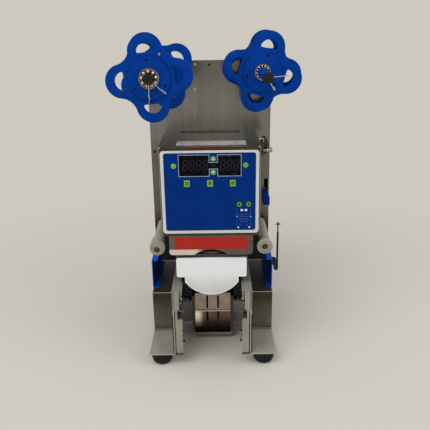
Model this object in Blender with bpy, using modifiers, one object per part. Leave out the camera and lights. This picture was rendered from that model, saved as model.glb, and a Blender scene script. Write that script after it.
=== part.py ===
"""Cup sealing machine: a table-top machine that seals film onto drinking cups.

Units are metres. X runs to the machine's right as seen from the front, Y runs
into its depth, Z runs up from the table. The origin is on the table, under the
middle of the machine's width and depth. Depths in this file are measured from
the front edge of the foot plates and are moved to the origin when placed.
"""

import math

import bmesh
import bpy
from mathutils import Matrix, Vector

# Clearances
GAP = 0.0003
RUNNING_GAP = 0.0004
OVERLAP = 0.001
CUT_REACH = 0.010

# Cup and its seat
CUP_RADIUS = 0.0475
CUP_RING_WALL = 0.004
CUP_RING_FLANGE = 0.0065
CUP_RING_FLANGE_THICKNESS = 0.002
CUP_RING_DROP = 0.013
CUP_RING_OUTER = CUP_RADIUS + CUP_RING_WALL

# Tray arms and rails, from the cup outward
RACK_WIDTH = 0.006
ARM_SHEET = 0.0025
ARM_CLEARANCE = 0.011
ARM_OUTSIDE = CUP_RING_OUTER + ARM_CLEARANCE
RACK_INSIDE = ARM_OUTSIDE - ARM_SHEET - GAP - RACK_WIDTH
RAIL_SHEET = 0.0015
RAIL_HEIGHT = 0.0142
RAIL_WIDTH = 0.0165
RAIL_CLEARANCE = 0.001
RAIL_OUTSIDE = ARM_OUTSIDE + RAIL_CLEARANCE + RAIL_WIDTH

# Base
LEG_WIDTH = 0.0504
RAIL_OVERHANG = 0.0004
INNER_FACE = RAIL_OUTSIDE - RAIL_OVERHANG
BASE_WIDTH = 2 * (INNER_FACE + LEG_WIDTH)
FOOT_HEIGHT = 0.027
FOOT_RADIUS = 0.022
FOOT_FACE_RADIUS = 0.014
FOOT_SHOULDER = 0.012
FOOT_STEPS = 3
FOOT_INSET = 0.024
BASE_SHEET = 0.0025
LEG_RISE = 0.0925
LEG_TOP = FOOT_HEIGHT + LEG_RISE
LEG_SETBACK = 0.0975
INNER_PLATE_SHEET = 0.0025
INNER_PLATE_RISE = 0.0373
INNER_PLATE_TOP = LEG_TOP + INNER_PLATE_RISE
INNER_FLANGE_SHEET = 0.0018
INNER_FLANGE_LOW_WIDTH = 0.0167
INNER_FLANGE_NOTCH_WIDTH = 0.0072
INNER_FLANGE_MIDDLE_WIDTH = 0.0117
INNER_FLANGE_STOP_WIDTH = 0.0138
INNER_FLANGE_NOTCH_RISE = 0.082
INNER_FLANGE_NOTCH_TALL = 0.021
INNER_FLANGE_NOTCH_LOW = FOOT_HEIGHT + INNER_FLANGE_NOTCH_RISE
INNER_FLANGE_NOTCH_TOP = INNER_FLANGE_NOTCH_LOW + INNER_FLANGE_NOTCH_TALL
INNER_FLANGE_STOP_DROP = 0.002
COVER_SHEET = 0.0015
COVER_OVERHANG = 0.001
COVER_FRONT = 0.120
COVER_HEIGHT = 0.0655
COVER_FLANGE = 0.013
COVER_BOTTOM = LEG_TOP + GAP
COVER_TOP = COVER_BOTTOM + COVER_HEIGHT
LOWER_PANEL_SHEET = 0.002
LOWER_PANEL_FLOOR_GAP = 0.004
DECK_SHEET = 0.0025
DECK_MARGIN = 0.015
DECK_WIDTH = BASE_WIDTH - 2 * DECK_MARGIN
DECK_BOTTOM = INNER_PLATE_TOP + GAP
DECK_TOP = DECK_BOTTOM + DECK_SHEET

# Vent frame, its cover and the rod across it
FRAME_DROP = 0.019
FRAME_TALL = 0.099
FRAME_BOTTOM = FOOT_HEIGHT - FRAME_DROP
FRAME_TOP = FRAME_BOTTOM + FRAME_TALL
VENT_WIDTH = 0.078
VENT_FRONT = 0.103
VENT_SILL = 0.008
VENT_LOWER_TALL = 0.054
VENT_BOTTOM = FRAME_BOTTOM + VENT_SILL
VENT_SEAM = VENT_BOTTOM + VENT_LOWER_TALL
VENT_SHEET = 0.002
VENT_BULGE = 0.004
VENT_BULGE_STEPS = 4
VENT_RETURN = 0.008
VENT_SLOT_WIDTH = 0.004
VENT_SLOT_OFFSET = 0.012
VENT_SLOT_MARGIN = 0.006
VENT_SLOT_RISE = 0.029
VENT_SLOT_SEAM_MARGIN = 0.003
VENT_SEAM_WIDTH = 0.0015
FRAME_MARGIN = 0.0065
FRAME_WIDTH = VENT_WIDTH + 2 * FRAME_MARGIN
FRAME_CORNER = 0.010
FRAME_SHEET = 0.0015
FRAME_LIP_DEPTH = 0.0015
VENT_RISE = 0.006
VENT_TOP = FRAME_TOP + VENT_RISE
CROSS_ROD_RADIUS = 0.004
CROSS_ROD_SETBACK = 0.019
CROSS_ROD_DROP = 0.015
CROSS_ROD_DEPTH = VENT_FRONT + CROSS_ROD_SETBACK
CROSS_ROD_HEIGHT = FRAME_TOP - CROSS_ROD_DROP

# Heights of the tray, from the inner plates up
RAIL_BOTTOM = INNER_PLATE_TOP + GAP
RAIL_TOP = RAIL_BOTTOM + RAIL_HEIGHT
RAIL_FRONT = INNER_FLANGE_SHEET + GAP
RACK_RISE = 0.0349
RACK_PITCH_HEIGHT = RAIL_BOTTOM + RACK_RISE
SHIELD_LIFT = 0.0147
SHIELD_STEP_RISE = 0.0425
SHIELD_UPPER_HEIGHT = 0.042
SHIELD_TRAY_GAP = 0.001
SHIELD_STEP = RAIL_TOP + SHIELD_LIFT
SHIELD_LOW = SHIELD_STEP - SHIELD_STEP_RISE
SHIELD_TOP = SHIELD_STEP + SHIELD_UPPER_HEIGHT
SHIELD_THICKNESS = 0.005
SHIELD_LOWER_WIDTH = 0.112
SHIELD_STEP_SIDE = 0.0128
SHIELD_CORNER = 0.003
TRAY_THICKNESS = 0.005
TRAY_BOTTOM = SHIELD_TOP + SHIELD_TRAY_GAP
TRAY_TOP = TRAY_BOTTOM + TRAY_THICKNESS

# Heights of the sealing station, from the tray up
FILM_GAP = 0.007
FILM_PLATE_THICKNESS = 0.004
FILM_PLATE_BOTTOM = TRAY_TOP + FILM_GAP
FILM_PLATE_TOP = FILM_PLATE_BOTTOM + FILM_PLATE_THICKNESS
HEATER_LIFT = 0.008
HEATER_THICKNESS = 0.019
HEATER_BOTTOM = FILM_PLATE_TOP + HEATER_LIFT
BEAM_LIFT = 0.035
BEAM_THICKNESS = 0.010
BEAM_BOTTOM = HEATER_BOTTOM + HEATER_THICKNESS + BEAM_LIFT
BEAM_TOP = BEAM_BOTTOM + BEAM_THICKNESS
SHELF_LIFT = 0.035
SHELF_THICKNESS = 0.005
SHELF_BOTTOM = BEAM_TOP + SHELF_LIFT
SHELF_TOP = SHELF_BOTTOM + SHELF_THICKNESS
CAM_LIFT = 0.040
CAM_AXIS_HEIGHT = SHELF_TOP + CAM_LIFT

# Head
HEAD_WIDTH = 0.1908
HEAD_FRONT = 0.029
HEAD_LIFT = 0.037
HEAD_BOTTOM = FILM_PLATE_BOTTOM + HEAD_LIFT
HEAD_ROOM = 0.057
HEAD_TOP = CAM_AXIS_HEIGHT + HEAD_ROOM
HEAD_SHEET = 0.0015
HEAD_BEND = 0.005
TOP_SLOT_LENGTH = 0.046
TOP_SLOT_WIDTH = 0.005
TOP_SLOT_OFFSET = 0.039
TOP_SLOT_SETBACK = 0.006
PANEL_SIDE_MARGIN = 0.003
PANEL_LOW_MARGIN = 0.006
PANEL_TOP_MARGIN = 0.0064
PANEL_WIDTH = HEAD_WIDTH - 2 * PANEL_SIDE_MARGIN
PANEL_BOTTOM = HEAD_BOTTOM + PANEL_LOW_MARGIN
PANEL_TOP = HEAD_TOP - PANEL_TOP_MARGIN
PANEL_THICKNESS = 0.0013
PANEL_CORNER = 0.006
WINDOW_THICKNESS = 0.0005
WINDOW_LEFT = (-0.058, -0.0012)
WINDOW_RIGHT = (0.0148, 0.0585)
WINDOW_DROP = 0.0081
WINDOW_TALL = 0.0405
NECK_DROP = 0.0226
NECK_TALL = 0.012
BOARD_SIDE_MARGIN = 0.0154
BOARD_LOW_MARGIN = 0.025
BOARD_TOP_MARGIN = 0.017
BOARD_THICKNESS = 0.0016
STANDOFF_RADIUS = 0.003
STANDOFF_LENGTH = 0.006
STANDOFF_INSET = 0.008
CHIN_SIDE_MARGIN = 0.0129
CHIN_WIDTH = HEAD_WIDTH - 2 * CHIN_SIDE_MARGIN
CHIN_DROP = 0.002
CHIN_BOTTOM = FILM_PLATE_BOTTOM - CHIN_DROP
CHIN_SHEET = 0.002
CHIN_CORNER = 0.008
CHIN_HIDDEN_HEIGHT = 0.017
CHIN_ARC_WIDTH = 0.064
CHIN_ARC_HEIGHT = 0.008
FILM_PLATE_INSET = 0.0005
FILM_PLATE_WIDTH = CHIN_WIDTH - 2 * FILM_PLATE_INSET

# Depths, from the head's front back to the rear cover
STATION_SETBACK = 0.074
STATION_DEPTH = HEAD_FRONT + STATION_SETBACK
TRAY_FRONT_MARGIN = 0.0147
TRAY_REAR_MARGIN = 0.0175
TRAY_FRONT = STATION_DEPTH - CUP_RADIUS - TRAY_FRONT_MARGIN
TRAY_BACK = STATION_DEPTH + CUP_RADIUS + TRAY_REAR_MARGIN
TRAY_CORNER = 0.010
TRAY_LIP_SHEET = 0.0025
TRAY_LIP_TALL = 0.010
TRAY_SIDE_MARGIN = 0.023
TRAY_WIDTH = 2 * (CUP_RADIUS + TRAY_SIDE_MARGIN)
TRAY_TRAVEL = 0.120
TRAY_PLATE_GAP = 0.0095
PLATE_FRONT = TRAY_BACK + TRAY_PLATE_GAP
PLATE_SHEET = 0.0025
PLATE_BACK = PLATE_FRONT + PLATE_SHEET
LOWER_PANEL_GAP = 0.0065
LOWER_PANEL_DEPTH = PLATE_FRONT - LOWER_PANEL_GAP
RAIL_BACK = LOWER_PANEL_DEPTH + LOWER_PANEL_SHEET + OVERLAP
ARM_SETBACK = 0.0092
ARM_FRONT = TRAY_FRONT + ARM_SETBACK
ARM_BACK = TRAY_BACK
SHOE_END_GAP = 0.002
SHOE_FRONT = RAIL_FRONT + TRAY_TRAVEL + SHOE_END_GAP
RACK_REAR_LENGTH = 0.0405
RACK_BACK = PLATE_FRONT + TRAY_TRAVEL + RACK_REAR_LENGTH
RACK_ROOM = 0.0055
REAR_SHEET = 0.0015
REAR_DEPTH_MARGIN = 0.005
REAR_FRONT = PLATE_BACK + GAP
REAR_BACK = RACK_BACK + RACK_ROOM + REAR_SHEET
BASE_DEPTH = REAR_BACK + REAR_DEPTH_MARGIN

# Press
CUTTER_OVERLAP = 0.0028
CUTTER_RADIUS = CUP_RADIUS + CUTTER_OVERLAP
CUTTER_WALL = 0.0015
CUTTER_CLEARANCE = 0.0038
CUTTER_HEIGHT = 0.041
CUTTER_TOP_THICKNESS = 0.002
CUTTER_RISE = 0.002
CUTTER_TEETH = 27
CUTTER_TOOTH_DEPTH = 0.0015
CUTTER_HOLE_CLEARANCE = 0.0017
HEATER_RADIUS = CUTTER_RADIUS - CUTTER_WALL - CUTTER_CLEARANCE
HEATER_STEM_RADIUS = 0.014
PRESS_STROKE = 0.014
POST_RADIUS = 0.005
POST_CLEARANCE = 0.0117
POST_OFFSET = CUTTER_RADIUS + POST_CLEARANCE
POST_TOP = 0.003
BEAM_END = 0.010
BEAM_WIDTH = 2 * (POST_OFFSET + BEAM_END)
BEAM_DEPTH = 0.030
BEAM_CORNER = 0.006
SHELF_END = 0.013
SHELF_WIDTH = 2 * (POST_OFFSET + SHELF_END)
SHELF_FLANGE = 0.030
SHELF_FLANGE_SHEET = 0.004
SHAFT_ROOM = 0.004
CAM_BASE_RADIUS = 0.020
CAM_SWEEP = math.radians(270.0)
CAM_RETURN = math.radians(45.0)
CAM_START = -math.pi / 2
CAM_RISE_STEPS = 45
CAM_RETURN_STEPS = 8
CAM_DWELL_STEPS = 9
CAM_THICKNESS = 0.008
CAM_SHAFT_RADIUS = 0.006
CAM_SHAFT_NOSE = 0.004
FOLLOWER_RADIUS = 0.008
FOLLOWER_CROWN = 0.002
FOLLOWER_CROWN_STEPS = 4

# Tray drive
MODULE = 0.001
PINION_TEETH = 16
PRESSURE_ANGLE = math.radians(20.0)
BACKLASH = 0.00025
PINION_ADDENDUM = 0.95 * MODULE
RACK_ADDENDUM = 0.90 * MODULE
DEDENDUM = 1.25 * MODULE
FLANK_STEPS = 3
RACK_BODY = 0.005
RACK_ROOT = RACK_PITCH_HEIGHT - DEDENDUM
RACK_TIP = RACK_PITCH_HEIGHT + RACK_ADDENDUM
RACK_BOTTOM = RACK_ROOT - RACK_BODY
RACK_HOLE_MARGIN = 0.002
RACK_TOOTH_MARGIN = 0.003
PINION_RADIUS = MODULE * PINION_TEETH / 2
PINION_HEIGHT = RACK_PITCH_HEIGHT + PINION_RADIUS + BACKLASH
PINION_SETBACK = 0.0285
PINION_DEPTH = PLATE_FRONT + PINION_SETBACK
PINION_BORE = 0.0025
TRAY_MOTOR_SIZE = 0.034
TRAY_MOTOR_BOX = 0.020
TRAY_MOTOR_GAP = 0.002
TRAY_MOTOR_RADIUS = 0.014
TRAY_MOTOR_LENGTH = 0.055

# Back plate and rear housing
PLATE_SIDE_MARGIN = 0.0306
PLATE_WIDTH = HEAD_WIDTH + 2 * PLATE_SIDE_MARGIN
PLATE_HOLE_RADIUS = 0.002
PLATE_HOLE_INSET = 0.009
PLATE_SIDE_HOLE_INSET = 0.0074
PLATE_SIDE_HOLE_DROP = 0.041
REAR_TOP_DROP = 0.003
REAR_TOP_SLOPE = 0.010
LOUVRE_LENGTH = 0.060
LOUVRE_HEIGHT = 0.0035
LOUVRE_PITCH = 0.010
LOUVRE_COUNT = 7
LOUVRE_DROP = 0.027

# Film reels
REEL_EDGE = 0.0203
REEL_OFFSET = PLATE_WIDTH / 2 - REEL_EDGE
REEL_LIFT = 0.123
REEL_HEIGHT = HEAD_TOP + REEL_LIFT
SPINDLE_FRONT = 0.018
SPINDLE_RADIUS = 0.006
SPINDLE_CAP_RADIUS = 0.010
SPINDLE_CAP_LENGTH = 0.011
SPINDLE_CHAMFER = 0.001
SPINDLE_TAIL = 0.004
LOBE_RADIUS = 0.0303
LOBE_CENTRE = 0.0489
LOBE_FILLET = 0.030
LOBE_STEPS = 9
FILLET_STEPS = 5
LOBE_HOLE_RADIUS = 0.017
LOBE_HOLE_STEPS = 8
HUB_RADIUS = 0.0387
HUB_HEIGHT = 0.003
HUB_HOLE_RADIUS = 0.0025
HUB_HOLE_CIRCLE = 0.032
HUB_HOLE_STEPS = 6
HUB_FLAT_GAP = 0.0068
LOBE_HOLE_FLAT = HUB_RADIUS + HUB_FLAT_GAP
FLANGE_THICKNESS = 0.007
COLLAR_RADIUS = 0.019
TAKEUP_COLLAR_RADIUS = 0.0165
COLLAR_LENGTH = 0.004
SUPPLY_FLANGE_SETBACK = 0.022
SUPPLY_FRONT_FLANGE = SPINDLE_FRONT + SUPPLY_FLANGE_SETBACK
REAR_FLANGE_GAP = 0.0165
REAR_FLANGE = PLATE_FRONT - REAR_FLANGE_GAP
TAKEUP_WIDTH = 0.020
TAKEUP_FRONT_FLANGE = REAR_FLANGE - TAKEUP_WIDTH
SLEEVE_RADIUS = 0.011
SLEEVE_GAP = 0.011
SLEEVE_FRONT = SPINDLE_FRONT + SPINDLE_CAP_LENGTH + SLEEVE_GAP
SUPPLY_FRONT_TURN = math.radians(5.4)
SUPPLY_REAR_TURN = math.radians(31.5)
TAKEUP_FRONT_TURN = math.radians(-15.0)
TAKEUP_REAR_TURN = math.radians(-7.0)
BEARING_RADIUS = 0.015
BEARING_BARREL = 0.0097
BEARING_FLANGE = 0.003
BEARING_REAR = 0.0145
BEARING_BACK = PLATE_FRONT + BEARING_REAR
SHAFT_HOLE = BEARING_BARREL + GAP

# Motors
PRESS_MOTOR_RADIUS = 0.022
PRESS_MOTOR_LENGTH = 0.095
TAKEUP_MOTOR_RADIUS = 0.013
TAKEUP_MOTOR_LENGTH = 0.055
MOTOR_BORE_DEPTH = 0.010
MOTOR_CAN_SHARE = 0.8
GEARBOX_SHARE = 0.4
PLATE_TOP_MARGIN = 0.009
PLATE_TOP = REEL_HEIGHT + TAKEUP_MOTOR_RADIUS + PLATE_TOP_MARGIN

# Guide rollers
ROLLER_HEAD_GAP = 0.0106
ROLLER_OFFSET = HEAD_WIDTH / 2 + ROLLER_HEAD_GAP
ROLLER_LIFT = 0.014
ROLLER_HEIGHT = CHIN_BOTTOM + ROLLER_LIFT
ROLLER_RADIUS = 0.012
ROLLER_PLATE_GAP = 0.0095
ROLLER_BACK = PLATE_FRONT - ROLLER_PLATE_GAP
ROLLER_LEFT_FRONT = 0.020
ROLLER_LEFT_COLLAR = 0.007
ROLLER_LEFT_SLEEVE = 0.034
ROLLER_LEFT_SLEEVE_RADIUS = 0.015
ROLLER_RIGHT_FRONT = 0.030
ROLLER_RIGHT_FLANGE = 0.006
ROLLER_RIGHT_FLANGE_RADIUS = 0.0155
ROLLER_SPINDLE_RADIUS = 0.004
ROLLER_SPINDLE_TAIL = 0.006
ROLLER_SCREW_RADIUS = 0.0055
ROLLER_SCREW_LENGTH = 0.003
ROLLER_SCREW_RECESS = 0.001
ROLLER_SHOULDER_RADIUS = 0.007

# Film sensor in the back plate's slot
SENSOR_HEAD_GAP = 0.0166
SENSOR_WIDTH = 0.014
SENSOR_OFFSET = HEAD_WIDTH / 2 + SENSOR_HEAD_GAP + SENSOR_WIDTH / 2
SENSOR_LIFT = 0.046
SENSOR_TALL = 0.030
SENSOR_LOW = ROLLER_HEIGHT + SENSOR_LIFT
SENSOR_TOP = SENSOR_LOW + SENSOR_TALL
SENSOR_DEPTH = 0.024
SENSOR_STUD_RADIUS = 0.003
SENSOR_STUD_TAIL = 0.003
SENSOR_NUT_RADIUS = 0.0052
SENSOR_NUT_THICKNESS = 0.002
SENSOR_TRAVEL = 0.020
SLOT_WIDTH = 0.008
SLOT_OVERLAP = 0.007
SLOT_LOW = SENSOR_TOP - SLOT_OVERLAP
SLOT_HIGH = SLOT_LOW + SLOT_WIDTH + SENSOR_TRAVEL + OVERLAP

# Pull pin beside the head
LATCH_SETBACK = 0.031
LATCH_DROP = 0.014
LATCH_DEPTH = HEAD_FRONT + LATCH_SETBACK
LATCH_HEIGHT = HEAD_TOP - LATCH_DROP
LATCH_PIN_RADIUS = 0.003
LATCH_PIN_INSIDE = 0.0035
LATCH_KNOB_GAP = 0.008
LATCH_BRACKET_THICKNESS = 0.0065
LATCH_BRACKET_WIDTH = 0.018
LATCH_BRACKET_BELOW = 0.010
LATCH_BRACKET_ABOVE = 0.017
LATCH_BRACKET_EDGE = 0.0008
LATCH_KNOB_RADIUS = 0.005
LATCH_KNOB_LENGTH = 0.009
LATCH_KNOB_EDGE = 0.001

# Side lever
LEVER_SETBACK = 0.012
LEVER_DROP = 0.0093
LEVER_DEPTH = COVER_FRONT + LEVER_SETBACK
LEVER_HEIGHT = COVER_TOP - LEVER_DROP
LEVER_BOSS_RADIUS = 0.009
LEVER_BOSS_LENGTH = 0.0055
LEVER_HUB_LENGTH = 0.0055
LEVER_ROD_RADIUS = 0.002
LEVER_ROD_OFFSET = 0.003
LEVER_ROD_START = 0.002
LEVER_LENGTH = 0.105
LEVER_CROSS_DROP = 0.008
LEVER_CROSS_RADIUS = 0.0015
LEVER_CROSS_HALF = 0.005

# Power inlet and mains switch
INLET_OFFSET = -0.080
INLET_LIFT = 0.0367
INLET_HEIGHT = COVER_TOP + INLET_LIFT
INLET_WIDTH = 0.028
INLET_TALL = 0.022
INLET_PROUD = 0.002
INLET_LIP = 0.003
INLET_BODY_DEPTH = 0.020
SOCKET_DEPTH = 0.016
SOCKET_WALL = 0.003
ROCKER_LIFT = 0.035
ROCKER_HEIGHT = INLET_HEIGHT + ROCKER_LIFT
ROCKER_TILT = math.radians(8.0)
ROCKER_WIDTH = 0.020
ROCKER_TALL = 0.015
ROCKER_DEPTH = 0.008
ROCKER_PIVOT = 0.004
ROCKER_BACK = 0.005
ROCKER_PROUD = 0.003
ROCKER_END = 0.002
ROCKER_WELL_MARGIN = 0.001
SWITCH_FRAME_RISE = 0.013

ROUND = 20
FINE_ROUND = 32
SMALL_ROUND = 16
TINY_ROUND = 12
ARC_STEPS = 8

COLOURS = {
    "satin_steel": ((0.50, 0.48, 0.46), 0.35, 1.0),
    "plate_steel": ((0.52, 0.51, 0.50), 0.40, 1.0),
    "chrome": ((0.75, 0.75, 0.76), 0.12, 1.0),
    "bronze_steel": ((0.30, 0.22, 0.19), 0.22, 1.0),
    "aluminium": ((0.62, 0.62, 0.63), 0.35, 1.0),
    "blue_paint": ((0.01, 0.09, 0.48), 0.40, 0.0),
    "blue_plastic": ((0.01, 0.09, 0.52), 0.38, 0.0),
    "panel_film": ((0.01, 0.07, 0.40), 0.30, 0.0),
    "window": ((0.01, 0.01, 0.02), 0.10, 0.0),
    "white_plastic": ((0.80, 0.82, 0.84), 0.35, 0.0),
    "ivory_nylon": ((0.60, 0.60, 0.52), 0.45, 0.0),
    "black_plastic": ((0.02, 0.02, 0.02), 0.45, 0.0),
    "rubber": ((0.015, 0.015, 0.015), 0.75, 0.0),
    "circuit_board": ((0.02, 0.15, 0.06), 0.50, 0.0),
    "motor_metal": ((0.35, 0.35, 0.36), 0.45, 1.0),
}

PLANE_TURNS = {
    "XY": (0.0, 0.0, 0.0),
    "XZ": (math.pi / 2, 0.0, 0.0),
    "YZ": (math.pi / 2, 0.0, math.pi / 2),
}
AXIS_TURNS = {
    "X": (0.0, math.pi / 2, 0.0),
    "Y": (-math.pi / 2, 0.0, 0.0),
    "Z": (0.0, 0.0, 0.0),
}


def clear_scene():
    for item in list(bpy.data.objects):
        bpy.data.objects.remove(item, do_unlink=True)


def new_collection(name):
    collection = bpy.data.collections.new(name)
    bpy.context.scene.collection.children.link(collection)
    return collection


clear_scene()
PARTS = new_collection("cup_sealing_machine")
CUTTERS = new_collection("cutters")
MATERIALS = {}


def material(name):
    if name not in MATERIALS:
        colour, roughness, metallic = COLOURS[name]
        made = bpy.data.materials.new(name)
        made.use_nodes = True
        shader = made.node_tree.nodes["Principled BSDF"]
        shader.inputs["Base Color"].default_value = (*colour, 1.0)
        shader.inputs["Roughness"].default_value = roughness
        shader.inputs["Metallic"].default_value = metallic
        made.diffuse_color = (*colour, 1.0)
        MATERIALS[name] = made
    return MATERIALS[name]


def place(x, depth, z):
    """World position of a point given by its depth behind the foot plates' front edge."""
    return Vector((x, depth - BASE_DEPTH / 2, z))


def add_part(name, mesh, finish, location=(0, 0, 0), rotation=(0, 0, 0)):
    part = bpy.data.objects.new(name, mesh)
    part.location = location
    part.rotation_euler = rotation
    PARTS.objects.link(part)
    mesh.materials.clear()
    mesh.materials.append(material(finish))
    return part


def add_cutter(name, mesh, location=(0, 0, 0), rotation=(0, 0, 0)):
    cutter = bpy.data.objects.new(name, mesh)
    cutter.location = location
    cutter.rotation_euler = rotation
    cutter.hide_render = True
    cutter.display_type = "WIRE"
    CUTTERS.objects.link(cutter)
    return cutter


def shade_round(part):
    part.data.shade_smooth()
    part.data.set_sharp_from_angle(angle=math.radians(35))
    return part


def box_mesh(name, size):
    mesh = bpy.data.meshes.new(name)
    cage = bmesh.new()
    bmesh.ops.create_cube(cage, size=1.0)
    bmesh.ops.scale(cage, vec=size, verts=cage.verts)
    cage.to_mesh(mesh)
    cage.free()
    return mesh


def box_place(x, depth, z):
    size = (x[1] - x[0], depth[1] - depth[0], z[1] - z[0])
    centre = place((x[0] + x[1]) / 2, (depth[0] + depth[1]) / 2, (z[0] + z[1]) / 2)
    return size, centre


def block(name, finish, x, depth, z):
    size, centre = box_place(x, depth, z)
    return add_part(name, box_mesh(name, size), finish, centre)


def block_cutter(name, x, depth, z):
    size, centre = box_place(x, depth, z)
    return add_cutter(name, box_mesh(name, size), centre)


def outline_mesh(name, loops, thickness):
    """A flat piece with holes: the first loop is its outline, the others are its holes."""
    curve = bpy.data.curves.new(name, "CURVE")
    curve.dimensions = "2D"
    curve.fill_mode = "BOTH"
    curve.extrude = thickness / 2
    for loop in loops:
        spline = curve.splines.new("POLY")
        spline.points.add(len(loop) - 1)
        for point, (a, b) in zip(spline.points, loop):
            point.co = (a, b, 0.0, 1.0)
        spline.use_cyclic_u = True
    source = bpy.data.objects.new(name + "_outline", curve)
    CUTTERS.objects.link(source)
    graph = bpy.context.evaluated_depsgraph_get()
    mesh = bpy.data.meshes.new_from_object(source.evaluated_get(graph))
    bpy.data.objects.remove(source, do_unlink=True)
    bpy.data.curves.remove(curve)
    mesh.name = name
    cage = bmesh.new()
    cage.from_mesh(mesh)
    bmesh.ops.remove_doubles(cage, verts=cage.verts, dist=1e-6)
    bmesh.ops.recalc_face_normals(cage, faces=cage.faces)
    cage.to_mesh(mesh)
    cage.free()
    return mesh


def plane_place(plane, start, end):
    middle = (start + end) / 2
    if plane == "XY":
        return place(0.0, 0.0, middle)
    if plane == "XZ":
        return place(0.0, middle, 0.0)
    return place(middle, 0.0, 0.0)


def sheet(name, finish, plane, loops, start, end):
    """Extrude an outline drawn in world XY, XZ or YZ (Y as depth) from start to end."""
    mesh = outline_mesh(name, loops, abs(end - start))
    return add_part(name, mesh, finish, plane_place(plane, start, end), PLANE_TURNS[plane])


def sheet_cutter(name, plane, loops, start, end):
    mesh = outline_mesh(name, loops, abs(end - start))
    return add_cutter(name, mesh, plane_place(plane, start, end), PLANE_TURNS[plane])


def turned_mesh(name, profile, closed, segments):
    """Turn a profile of (radius, height) points about Z."""
    mesh = bpy.data.meshes.new(name)
    points = [(radius, 0.0, height) for radius, height in profile]
    edges = [(i, i + 1) for i in range(len(points) - 1)]
    if closed:
        edges.append((len(points) - 1, 0))
    mesh.from_pydata(points, edges, [])
    holder = bpy.data.objects.new(name + "_profile", mesh)
    CUTTERS.objects.link(holder)
    screw = holder.modifiers.new("turn", "SCREW")
    screw.steps = segments
    screw.render_steps = segments
    screw.use_merge_vertices = True
    screw.merge_threshold = 1e-6
    screw.use_smooth_shade = False
    graph = bpy.context.evaluated_depsgraph_get()
    turned = bpy.data.meshes.new_from_object(holder.evaluated_get(graph))
    bpy.data.objects.remove(holder, do_unlink=True)
    bpy.data.meshes.remove(mesh)
    turned.name = name
    cage = bmesh.new()
    cage.from_mesh(turned)
    bmesh.ops.remove_doubles(cage, verts=cage.verts, dist=1e-6)
    bmesh.ops.recalc_face_normals(cage, faces=cage.faces)
    cage.to_mesh(turned)
    cage.free()
    return turned


def turned(name, finish, axis, centre, profile, closed=False, segments=ROUND):
    mesh = turned_mesh(name, profile, closed, segments)
    return shade_round(add_part(name, mesh, finish, centre, AXIS_TURNS[axis]))


def rod_cutter(name, axis, centre, radius, start, end, segments=ROUND):
    profile = [(0, end), (radius, end), (radius, start), (0, start)]
    mesh = turned_mesh(name, profile, False, segments)
    return add_cutter(name, mesh, centre, AXIS_TURNS[axis])


def combine(part, tool, operation):
    step = part.modifiers.new(operation.lower(), "BOOLEAN")
    step.operation = operation
    step.object = tool
    step.solver = "EXACT"
    return part


def cut(part, *tools):
    for tool in tools:
        combine(part, tool, "DIFFERENCE")
    return part


def join(part, *tools):
    for tool in tools:
        combine(part, tool, "UNION")
    return part


def bevel_edges(part, width, segments, angle=50):
    step = part.modifiers.new("bevel", "BEVEL")
    step.width = width
    step.segments = segments
    step.limit_method = "ANGLE"
    step.angle_limit = math.radians(angle)
    return part


def pivot(name, location, *children):
    """An empty on a joint's axis that carries the pieces which move on it."""
    empty = bpy.data.objects.new(name, None)
    empty.location = location
    empty.empty_display_size = 0.01
    PARTS.objects.link(empty)
    back = Matrix.Translation(location).inverted()
    for child in children:
        child.parent = empty
        child.matrix_parent_inverse = back
    return empty


def rectangle(low, high):
    return [(low[0], low[1]), (high[0], low[1]), (high[0], high[1]), (low[0], high[1])]


def arc(centre, radius, start, end, steps):
    return [
        (
            centre[0] + radius * math.cos(start + (end - start) * i / steps),
            centre[1] + radius * math.sin(start + (end - start) * i / steps),
        )
        for i in range(steps + 1)
    ]


def circle(centre, radius, steps=ROUND):
    return arc(centre, radius, 0.0, 2 * math.pi, steps)[:-1]


def rounded_rectangle(low, high, radii, steps=4):
    """radii are for the corners low-left, low-right, high-right and high-left."""
    corners = [
        ((low[0], low[1]), (1, 1), math.pi),
        ((high[0], low[1]), (-1, 1), 1.5 * math.pi),
        ((high[0], high[1]), (-1, -1), 0.0),
        ((low[0], high[1]), (1, -1), 0.5 * math.pi),
    ]
    points = []
    for (corner, inward, start), radius in zip(corners, radii):
        if radius <= 0:
            points.append(corner)
            continue
        centre = (corner[0] + inward[0] * radius, corner[1] + inward[1] * radius)
        points += arc(centre, radius, start, start + math.pi / 2, steps)
    return points


def rotate_loop(loop, angle):
    c, s = math.cos(angle), math.sin(angle)
    return [(c * a - s * b, s * a + c * b) for a, b in loop]


def shift_loop(loop, centre):
    return [(a + centre[0], b + centre[1]) for a, b in loop]


def mirror_loop(loop, side):
    return [(side * a, b) for a, b in loop]


def make_base_side(name, side):
    outer = BASE_WIDTH / 2
    inner = INNER_FACE + GAP
    foot_top = FOOT_HEIGHT + BASE_SHEET
    outline = [
        (0.0, FOOT_HEIGHT),
        (BASE_DEPTH, FOOT_HEIGHT),
        (BASE_DEPTH, LEG_TOP),
        (LEG_SETBACK, LEG_TOP),
        (LEG_SETBACK, foot_top),
        (0.0, foot_top),
    ]
    part = sheet(name, "satin_steel", "YZ", [outline], side * inner, side * outer)
    hollow = sorted((side * (outer - BASE_SHEET), side * (inner - BASE_SHEET)))
    cutter = block_cutter(
        name + "_hollow",
        hollow,
        (LEG_SETBACK + BASE_SHEET, BASE_DEPTH - BASE_SHEET),
        (foot_top, LEG_TOP - BASE_SHEET),
    )
    return cut(part, cutter)


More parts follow.
